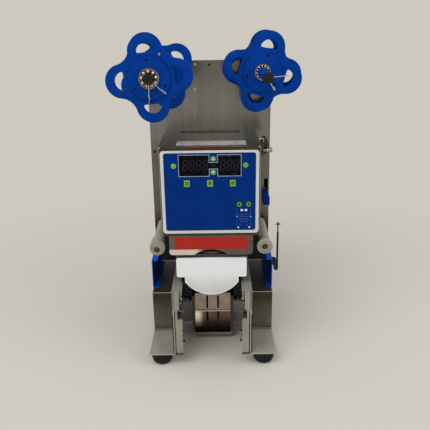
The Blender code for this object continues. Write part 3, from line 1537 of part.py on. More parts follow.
def flange_loops():
    """A four-lobed flange: lobe arcs joined by tangent fillets, with a D hole in each lobe."""
    reach = LOBE_RADIUS + LOBE_FILLET
    half = LOBE_CENTRE / 2
    offset = half + math.sqrt(half**2 - (LOBE_CENTRE**2 - reach**2) / 2)
    fillet = (offset, offset)
    # Angle, seen from the lobe's centre, of the point where lobe and fillet touch
    touch = math.atan2(offset, offset - LOBE_CENTRE)
    outer = []
    holes = []
    for quarter in range(4):
        turn = quarter * math.pi / 2
        lobe = arc((LOBE_CENTRE, 0.0), LOBE_RADIUS, -touch, touch, LOBE_STEPS)
        blend_start = math.atan2(-offset, LOBE_CENTRE - offset)
        blend_end = math.atan2(LOBE_CENTRE - offset, -offset)
        if blend_end > blend_start:
            blend_end -= 2 * math.pi
        blend = arc(fillet, LOBE_FILLET, blend_start, blend_end, FILLET_STEPS)[1:-1]
        outer += rotate_loop(lobe + blend, turn)
        flat = (LOBE_HOLE_FLAT, 0.0)
        hole = arc(flat, LOBE_HOLE_RADIUS, -math.pi / 2, math.pi / 2, LOBE_HOLE_STEPS)
        holes.append(rotate_loop(hole, turn))
    return outer, holes


def make_flange(name, offset, front, turn):
    """The lobed disc's front face is at depth front, with its raised hub before it."""
    outer, holes = flange_loops()
    bore = circle((0.0, 0.0), SPINDLE_RADIUS + RUNNING_GAP)
    loops = [outer, *holes, bore]
    centre = (offset, REEL_HEIGHT)
    loops = [shift_loop(rotate_loop(loop, turn), centre) for loop in loops]
    part = sheet(name, "blue_plastic", "XZ", loops, front, front + FLANGE_THICKNESS)
    hub = [circle((0.0, 0.0), HUB_RADIUS, ROUND), bore]
    hub = [shift_loop(loop, centre) for loop in hub]
    raised = sheet_cutter(name + "_hub", "XZ", hub, front - HUB_HEIGHT, front + HUB_HEIGHT)
    join(part, raised)
    for index in range(3):
        angle = turn + math.pi / 2 + index * 2 * math.pi / 3
        hole = rod_cutter(
            f"{name}_hole_{index}",
            "Y",
            place(
                offset + HUB_HOLE_CIRCLE * math.cos(angle),
                0.0,
                REEL_HEIGHT + HUB_HOLE_CIRCLE * math.sin(angle),
            ),
            HUB_HOLE_RADIUS,
            front - 2 * HUB_HEIGHT,
            front + FLANGE_THICKNESS + HUB_HEIGHT,
            HUB_HOLE_STEPS,
        )
        cut(part, hole)
    return part


def ring_about_y(name, finish, offset, height, inner, outer, start, end, segments=ROUND):
    profile = [(inner, end), (outer, end), (outer, start), (inner, start)]
    return turned(name, finish, "Y", place(offset, 0.0, height), profile, True, segments)


def make_spindle(name, offset, end):
    cap_end = SPINDLE_FRONT + SPINDLE_CAP_LENGTH
    profile = [
        (0.0, end),
        (SPINDLE_RADIUS, end),
        (SPINDLE_RADIUS, cap_end),
        (SPINDLE_CAP_RADIUS, cap_end),
        (SPINDLE_CAP_RADIUS, SPINDLE_FRONT + SPINDLE_CHAMFER),
        (SPINDLE_CAP_RADIUS - SPINDLE_CHAMFER, SPINDLE_FRONT),
        (0.0, SPINDLE_FRONT),
    ]
    return turned(name, "chrome", "Y", place(offset, 0.0, REEL_HEIGHT), profile)


def make_bearing():
    bore = SPINDLE_RADIUS + RUNNING_GAP
    plate_face = PLATE_FRONT - GAP
    profile = [
        (bore, BEARING_BACK),
        (BEARING_BARREL, BEARING_BACK),
        (BEARING_BARREL, plate_face),
        (BEARING_RADIUS, plate_face),
        (BEARING_RADIUS, plate_face - BEARING_FLANGE),
        (bore, plate_face - BEARING_FLANGE),
    ]
    centre = place(-REEL_OFFSET, 0.0, REEL_HEIGHT)
    return turned("supply_bearing", "motor_metal", "Y", centre, profile, True)


def make_reels():
    axis = place(-REEL_OFFSET, SPINDLE_FRONT, REEL_HEIGHT)
    bore = SPINDLE_RADIUS + RUNNING_GAP
    make_bearing()
    spindle = make_spindle("supply_spindle", -REEL_OFFSET, BEARING_BACK + SPINDLE_TAIL)
    rear = make_flange("supply_rear_flange", -REEL_OFFSET, REAR_FLANGE, SUPPLY_REAR_TURN)
    front = make_flange("supply_front_flange", -REEL_OFFSET, SUPPLY_FRONT_FLANGE, SUPPLY_FRONT_TURN)
    collar_end = SUPPLY_FRONT_FLANGE - HUB_HEIGHT - GAP
    collar = ring_about_y(
        "supply_collar",
        "chrome",
        -REEL_OFFSET,
        REEL_HEIGHT,
        bore,
        COLLAR_RADIUS,
        collar_end - COLLAR_LENGTH,
        collar_end,
    )
    pivot("supply_axis", axis, spindle, rear)
    pivot("supply_flange_slide", axis, front, collar)

    shaft_end = PLATE_BACK + MOTOR_BORE_DEPTH
    spindle = make_spindle("takeup_spindle", REEL_OFFSET, shaft_end)
    rear = make_flange("takeup_rear_flange", REEL_OFFSET, REAR_FLANGE, TAKEUP_REAR_TURN)
    front = make_flange("takeup_front_flange", REEL_OFFSET, TAKEUP_FRONT_FLANGE, TAKEUP_FRONT_TURN)
    sleeve_end = TAKEUP_FRONT_FLANGE - HUB_HEIGHT - GAP
    profile = [
        (bore, sleeve_end),
        (TAKEUP_COLLAR_RADIUS, sleeve_end),
        (TAKEUP_COLLAR_RADIUS, sleeve_end - COLLAR_LENGTH),
        (SLEEVE_RADIUS, sleeve_end - COLLAR_LENGTH),
        (SLEEVE_RADIUS, SLEEVE_FRONT),
        (bore, SLEEVE_FRONT),
    ]
    centre = place(REEL_OFFSET, 0.0, REEL_HEIGHT)
    sleeve = turned("takeup_sleeve", "blue_plastic", "Y", centre, profile, True)
    axis = place(REEL_OFFSET, SPINDLE_FRONT, REEL_HEIGHT)
    pivot("takeup_axis", axis, spindle, rear, front, sleeve)
    motor("takeup_motor", (REEL_OFFSET, REEL_HEIGHT), TAKEUP_MOTOR_RADIUS, TAKEUP_MOTOR_LENGTH, bore)


def make_roller(name, offset, steps):
    """steps are (radius, start, end) stretches of the roller's outside, front to back."""
    bore = ROLLER_SPINDLE_RADIUS + RUNNING_GAP
    recess = ROLLER_SCREW_RADIUS + RUNNING_GAP
    front = steps[0][1]
    back = steps[-1][2]
    profile = [(bore, back)]
    for radius, start, end in reversed(steps):
        profile += [(radius, end), (radius, start)]
    shelf = front + ROLLER_SCREW_RECESS + ROLLER_SCREW_LENGTH + 2 * GAP
    profile += [(recess, front), (recess, shelf), (bore, shelf)]
    centre = place(offset, 0.0, ROLLER_HEIGHT)
    return turned(name, "ivory_nylon", "Y", centre, profile, True)


def make_roller_spindle(name, offset, front):
    head_front = front + ROLLER_SCREW_RECESS
    head_back = head_front + ROLLER_SCREW_LENGTH
    plate_face = PLATE_FRONT - GAP
    shoulder = ROLLER_BACK + GAP
    tail = PLATE_BACK + ROLLER_SPINDLE_TAIL
    profile = [
        (0.0, tail),
        (ROLLER_SPINDLE_RADIUS, tail),
        (ROLLER_SPINDLE_RADIUS, plate_face),
        (ROLLER_SHOULDER_RADIUS, plate_face),
        (ROLLER_SHOULDER_RADIUS, shoulder),
        (ROLLER_SPINDLE_RADIUS, shoulder),
        (ROLLER_SPINDLE_RADIUS, head_back),
        (ROLLER_SCREW_RADIUS, head_back),
        (ROLLER_SCREW_RADIUS, head_front),
        (0.0, head_front),
    ]
    centre = place(offset, 0.0, ROLLER_HEIGHT)
    return turned(name, "satin_steel", "Y", centre, profile, segments=SMALL_ROUND)


def make_rollers():
    collar_end = ROLLER_LEFT_FRONT + ROLLER_LEFT_COLLAR
    sleeve_end = collar_end + ROLLER_LEFT_SLEEVE
    left = [
        (ROLLER_RADIUS, ROLLER_LEFT_FRONT, collar_end),
        (ROLLER_LEFT_SLEEVE_RADIUS, collar_end, sleeve_end),
        (ROLLER_RADIUS, sleeve_end, ROLLER_BACK),
    ]
    flange_end = ROLLER_RIGHT_FRONT + ROLLER_RIGHT_FLANGE
    right = [
        (ROLLER_RIGHT_FLANGE_RADIUS, ROLLER_RIGHT_FRONT, flange_end),
        (ROLLER_RADIUS, flange_end, ROLLER_BACK),
    ]
    for label, side, steps in (("left", -1, left), ("right", 1, right)):
        offset = side * ROLLER_OFFSET
        roller = make_roller(f"guide_roller_{label}", offset, steps)
        pivot(f"roller_axis_{label}", place(offset, steps[0][1], ROLLER_HEIGHT), roller)
        make_roller_spindle(f"roller_spindle_{label}", offset, steps[0][1])


def make_photo_sensor():
    half = SENSOR_WIDTH / 2
    back = PLATE_FRONT - GAP
    stud_height = SLOT_LOW + SENSOR_STUD_RADIUS + RUNNING_GAP
    part = block(
        "photo_sensor",
        "blue_plastic",
        (SENSOR_OFFSET - half, SENSOR_OFFSET + half),
        (back - SENSOR_DEPTH, back),
        (SENSOR_LOW, SENSOR_TOP),
    )
    nut_front = PLATE_BACK + GAP
    centre = place(SENSOR_OFFSET, 0.0, stud_height)
    nut_back = nut_front + SENSOR_NUT_THICKNESS
    tail = nut_front + SENSOR_STUD_TAIL
    stud = rod_cutter("sensor_stud", "Y", centre, SENSOR_STUD_RADIUS, back - OVERLAP, tail, SMALL_ROUND)
    nut = rod_cutter("sensor_nut", "Y", centre, SENSOR_NUT_RADIUS, nut_front, nut_back, 6)
    join(part, stud, nut)
    pivot("sensor_slide", centre + Vector((0.0, back, 0.0)), part)


def make_latch():
    face = HEAD_WIDTH / 2 + GAP
    bracket = block(
        "latch_bracket",
        "satin_steel",
        (face, face + LATCH_BRACKET_THICKNESS),
        (LATCH_DEPTH - LATCH_BRACKET_WIDTH / 2, LATCH_DEPTH + LATCH_BRACKET_WIDTH / 2),
        (LATCH_HEIGHT - LATCH_BRACKET_BELOW, LATCH_HEIGHT + LATCH_BRACKET_ABOVE),
    )
    centre = place(0.0, LATCH_DEPTH, LATCH_HEIGHT)
    hole = rod_cutter(
        "latch_bracket_hole",
        "X",
        centre,
        LATCH_PIN_RADIUS + RUNNING_GAP,
        face - CUT_REACH,
        face + CUT_REACH,
        SMALL_ROUND,
    )
    cut(bracket, hole)
    bevel_edges(bracket, LATCH_BRACKET_EDGE, 1)
    knob_start = face + LATCH_BRACKET_THICKNESS + LATCH_KNOB_GAP
    knob_end = knob_start + LATCH_KNOB_LENGTH
    start = HEAD_WIDTH / 2 - HEAD_SHEET - LATCH_PIN_INSIDE
    profile = [
        (0.0, knob_end),
        (LATCH_KNOB_RADIUS - LATCH_KNOB_EDGE, knob_end),
        (LATCH_KNOB_RADIUS, knob_end - LATCH_KNOB_EDGE),
        (LATCH_KNOB_RADIUS, knob_start),
        (LATCH_PIN_RADIUS, knob_start),
        (LATCH_PIN_RADIUS, start),
        (0.0, start),
    ]
    pin = turned("latch_pin", "chrome", "X", centre, profile, segments=SMALL_ROUND)
    pivot("latch_slide", centre + Vector((knob_start, 0.0, 0.0)), pin)


def make_lever():
    face = BASE_WIDTH / 2 + COVER_OVERHANG + GAP
    boss_end = face + LEVER_BOSS_LENGTH
    hub_start = boss_end + GAP
    hub_end = hub_start + LEVER_HUB_LENGTH
    centre = place(0.0, LEVER_DEPTH, LEVER_HEIGHT)
    boss = [(0, boss_end), (LEVER_BOSS_RADIUS, boss_end), (LEVER_BOSS_RADIUS, face), (0, face)]
    turned("lever_boss", "black_plastic", "X", centre, boss)
    radius = LEVER_BOSS_RADIUS
    hub = [(0, hub_end), (radius, hub_end), (radius, hub_start), (0, hub_start)]
    lever = turned("side_lever", "black_plastic", "X", centre, hub)
    rod_x = hub_start + LEVER_ROD_OFFSET
    rod = rod_cutter(
        "lever_rod",
        "Z",
        place(rod_x, LEVER_DEPTH, LEVER_HEIGHT),
        LEVER_ROD_RADIUS,
        LEVER_ROD_START,
        LEVER_LENGTH,
        TINY_ROUND,
    )
    cross = rod_cutter(
        "lever_cross",
        "X",
        place(rod_x, LEVER_DEPTH, LEVER_HEIGHT + LEVER_LENGTH - LEVER_CROSS_DROP),
        LEVER_CROSS_RADIUS,
        -LEVER_CROSS_HALF,
        LEVER_CROSS_HALF,
        TINY_ROUND,
    )
    join(lever, rod, cross)
    pivot("lever_axis", place(hub_start, LEVER_DEPTH, LEVER_HEIGHT), lever)


def make_inlet():
    """A power inlet and the switch's frame in one moulding, set in the rear cover."""
    half = INLET_WIDTH / 2
    low = INLET_HEIGHT - INLET_TALL / 2
    high = ROCKER_HEIGHT + SWITCH_FRAME_RISE - GAP
    outside = REAR_BACK + INLET_PROUD
    part = block(
        "power_inlet",
        "black_plastic",
        (INLET_OFFSET - half, INLET_OFFSET + half),
        (REAR_BACK - INLET_BODY_DEPTH, outside),
        (low, high),
    )
    lip = block_cutter(
        "inlet_lip",
        (INLET_OFFSET - half - INLET_LIP, INLET_OFFSET + half + INLET_LIP),
        (REAR_BACK + GAP, outside),
        (low - INLET_LIP, high + INLET_LIP),
    )
    socket = block_cutter(
        "inlet_socket",
        (INLET_OFFSET - half + SOCKET_WALL, INLET_OFFSET + half - SOCKET_WALL),
        (outside - SOCKET_DEPTH, outside + CUT_REACH),
        (low + SOCKET_WALL, INLET_HEIGHT + INLET_TALL / 2 - SOCKET_WALL),
    )
    side_room = ROCKER_WIDTH / 2 + RUNNING_GAP
    rocker_half = ROCKER_TALL / 2
    end_room = rocker_half + ROCKER_WELL_MARGIN
    well = block_cutter(
        "rocker_well",
        (INLET_OFFSET - side_room, INLET_OFFSET + side_room),
        (outside - ROCKER_DEPTH - ROCKER_PROUD, outside + CUT_REACH),
        (ROCKER_HEIGHT - end_room, ROCKER_HEIGHT + end_room),
    )
    join(part, lip)
    cut(part, socket, well)
    pivot_depth = outside - ROCKER_PIVOT
    face = rocker_half * math.tan(ROCKER_TILT)
    outline = [
        (-ROCKER_BACK, -rocker_half + ROCKER_END),
        (-ROCKER_BACK, rocker_half - ROCKER_END),
        (ROCKER_PROUD - face, rocker_half),
        (ROCKER_PROUD, 0.0),
        (ROCKER_PROUD - face, -rocker_half),
    ]
    tilted = rotate_loop(outline, ROCKER_TILT)
    loop = shift_loop(tilted, (pivot_depth, ROCKER_HEIGHT))
    rocker = sheet(
        "rocker_switch",
        "black_plastic",
        "YZ",
        [loop],
        INLET_OFFSET - ROCKER_WIDTH / 2,
        INLET_OFFSET + ROCKER_WIDTH / 2,
    )
    pivot("rocker_axis", place(INLET_OFFSET, pivot_depth, ROCKER_HEIGHT), rocker)


make_base()
make_deck()
make_back_plate()
make_rear_cover()
make_head()
make_tray()
make_reels()
make_rollers()
make_photo_sensor()
make_latch()
make_lever()
make_inlet()
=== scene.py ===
"""The looks of the cup sealing machine: materials, fine forms and small fittings.

Lengths are in millimetres, and the helpers turn them into metres. Only the studio and the camera
are given in metres.
"""

import math

import bmesh
import bpy
from mathutils import Matrix, Vector


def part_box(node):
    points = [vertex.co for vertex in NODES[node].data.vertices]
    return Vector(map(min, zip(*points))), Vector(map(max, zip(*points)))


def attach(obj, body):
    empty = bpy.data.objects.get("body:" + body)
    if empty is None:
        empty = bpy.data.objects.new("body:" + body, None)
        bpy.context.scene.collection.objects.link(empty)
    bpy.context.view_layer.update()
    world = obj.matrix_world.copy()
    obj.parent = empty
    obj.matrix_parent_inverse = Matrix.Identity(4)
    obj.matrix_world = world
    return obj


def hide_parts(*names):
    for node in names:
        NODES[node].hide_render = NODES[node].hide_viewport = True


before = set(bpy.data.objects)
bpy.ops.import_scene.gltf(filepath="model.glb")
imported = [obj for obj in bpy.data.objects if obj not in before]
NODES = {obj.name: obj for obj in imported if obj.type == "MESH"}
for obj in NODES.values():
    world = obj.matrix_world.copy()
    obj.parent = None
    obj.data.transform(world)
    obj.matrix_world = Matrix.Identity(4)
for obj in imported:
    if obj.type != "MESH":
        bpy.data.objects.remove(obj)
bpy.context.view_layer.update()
MM = 0.001
SIDES = (("left", -1), ("right", 1))


# Places read from the frame

def low(node):
    return [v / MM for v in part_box(node)[0]]


def high(node):
    return [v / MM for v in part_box(node)[1]]


def middle(node):
    return (Vector(low(node)) + Vector(high(node))) / 2


# Materials

def new_material(name):
    made = bpy.data.materials.new(name)
    made.use_nodes = True
    tree = made.node_tree
    shader = tree.nodes["Principled BSDF"]
    return made, tree, shader


def add_node(tree, kind, inputs=(), **settings):
    """A new node with its own settings, and a value or a link for each named input."""
    made = tree.nodes.new(kind)
    for name, value in settings.items():
        setattr(made, name, value)
    for key, value in dict(inputs).items():
        if isinstance(value, bpy.types.NodeSocket):
            tree.links.new(value, made.inputs[key])
        else:
            made.inputs[key].default_value = value
    return made


def combine(tree, operation, *values):
    return add_node(tree, "ShaderNodeMath", enumerate(values), operation=operation).outputs["Value"]


def object_place(tree):
    return add_node(tree, "ShaderNodeTexCoord").outputs["Object"]


def object_noise(tree, scale, stretch=(1.0, 1.0, 1.0), detail=4.0):
    """Noise in object space, drawn out along the axes with a small stretch value."""
    mapping = add_node(tree, "ShaderNodeMapping", {"Vector": object_place(tree), "Scale": stretch})
    inputs = {"Vector": mapping.outputs["Vector"], "Scale": scale, "Detail": detail, "Roughness": 0.5}
    return add_node(tree, "ShaderNodeTexNoise", inputs).outputs["Fac"]


def remap(tree, value, low_out, high_out, low_in=0.3, high_in=0.7):
    inputs = {"Value": value, "From Min": low_in, "From Max": high_in,
              "To Min": low_out, "To Max": high_out}
    return add_node(tree, "ShaderNodeMapRange", inputs).outputs["Result"]


def tint(tree, value, dark, light):
    ramp = add_node(tree, "ShaderNodeValToRGB", {"Fac": value})
    for element, place, colour in zip(ramp.color_ramp.elements, (0.3, 0.7), (dark, light)):
        element.position = place
        element.color = (*colour, 1.0)
    return ramp.outputs["Color"]


def along_axis(tree, axis, start, end, low_out=0.0, high_out=1.0):
    """A value that goes from low_out to high_out between two places on one of the object's axes."""
    split = add_node(tree, "ShaderNodeSeparateXYZ", {"Vector": object_place(tree)})
    return remap(tree, split.outputs[axis], low_out, high_out, start * MM, end * MM)


def mix_by_place(tree, colour, pattern, dark, light, *spans):
    """Blend to another pair of tones between two places along the object's axes."""
    share, *others = [along_axis(tree, *span) for span in spans]
    for other in others:
        share = combine(tree, "MULTIPLY", share, other)
    inputs = {"Factor": share, "A": colour, "B": tint(tree, pattern, dark, light)}
    return add_node(tree, "ShaderNodeMix", inputs, data_type="RGBA").outputs["Result"]


BUMP_DISTANCE = 0.0002
WORN_SHINE = 0.3


def finish_shader(tree, shader, pattern, dark, light, accents, roughness, height, strength):
    """Link the tones of a pattern, a roughness and a bump to the shader."""
    colour = tint(tree, pattern, dark, light)
    for accent in accents:
        colour = mix_by_place(tree, colour, pattern, *accent)
    inputs = {"Height": height, "Strength": strength, "Distance": BUMP_DISTANCE}
    normal = add_node(tree, "ShaderNodeBump", inputs).outputs["Normal"]
    for key, source in (("Base Color", colour), ("Roughness", roughness), ("Normal", normal)):
        tree.links.new(source, shader.inputs[key])


def metal(name, dark, light, rough, stretch, bump=0.05, cloud=14.0, accents=(), metallic=1.0, worn=()):
    """Rolled or brushed metal: streaks along one axis over broad smudges.

    worn holds two (axis, dull place, bright place): surfaces scuffed until they hardly mirror.
    """
    made, tree, shader = new_material(name)
    streaks = object_noise(tree, 900.0, stretch)
    smudges = object_noise(tree, cloud)
    inputs = {"Factor": 0.35, "A": smudges, "B": object_noise(tree, 170.0, stretch, 2.0)}
    tone = add_node(tree, "ShaderNodeMix", inputs).outputs["Result"]
    shade = combine(tree, "MULTIPLY_ADD", streaks, 0.6, remap(tree, smudges, 0.1, 0.3))
    finish_shader(tree, shader, tone, dark, light, accents, remap(tree, shade, *rough), streaks, bump)
    shader.inputs["Metallic"].default_value = metallic
    if worn:
        shine = [along_axis(tree, *span, WORN_SHINE, metallic) for span in worn]
        tree.links.new(combine(tree, "MINIMUM", *shine), shader.inputs["Metallic"])
    return made


def moulded(name, dark, light, rough, gloss=0.3, grain=500.0, bump=0.08, cloud=25.0, accents=()):
    """Moulded plastic, print or paint: faint mottling and a fine orange-peel surface."""
    made, tree, shader = new_material(name)
    mottle = object_noise(tree, cloud)
    fine = object_noise(tree, grain, detail=3.0)
    finish_shader(tree, shader, mottle, dark, light, accents, remap(tree, mottle, *rough), fine, bump)
    shader.inputs["Specular IOR Level"].default_value = gloss
    return made


ALONG_X = (0.02, 1.0, 1.0)
ALONG_Y = (1.0, 0.02, 1.0)
ALONG_Z = (1.0, 1.0, 0.02)
FRONT = low("base_side_left")[1]
CASING_FACE = low("head_casing")[1] + 1
LEG_FACE = FRONT + 97.5
SEAM = 70
FOOT_TOP = low("base_side_left")[2] + 3
LEG_TOP = high("base_side_left")[2]
LEG_FRONT = ("Y", LEG_FACE + 12, LEG_FACE + 4)
FOOT_FADE = (FOOT_TOP + 0.3, FOOT_TOP + 1.2)
LEG_FADE = (LEG_TOP - 1, LEG_TOP - 0.3)

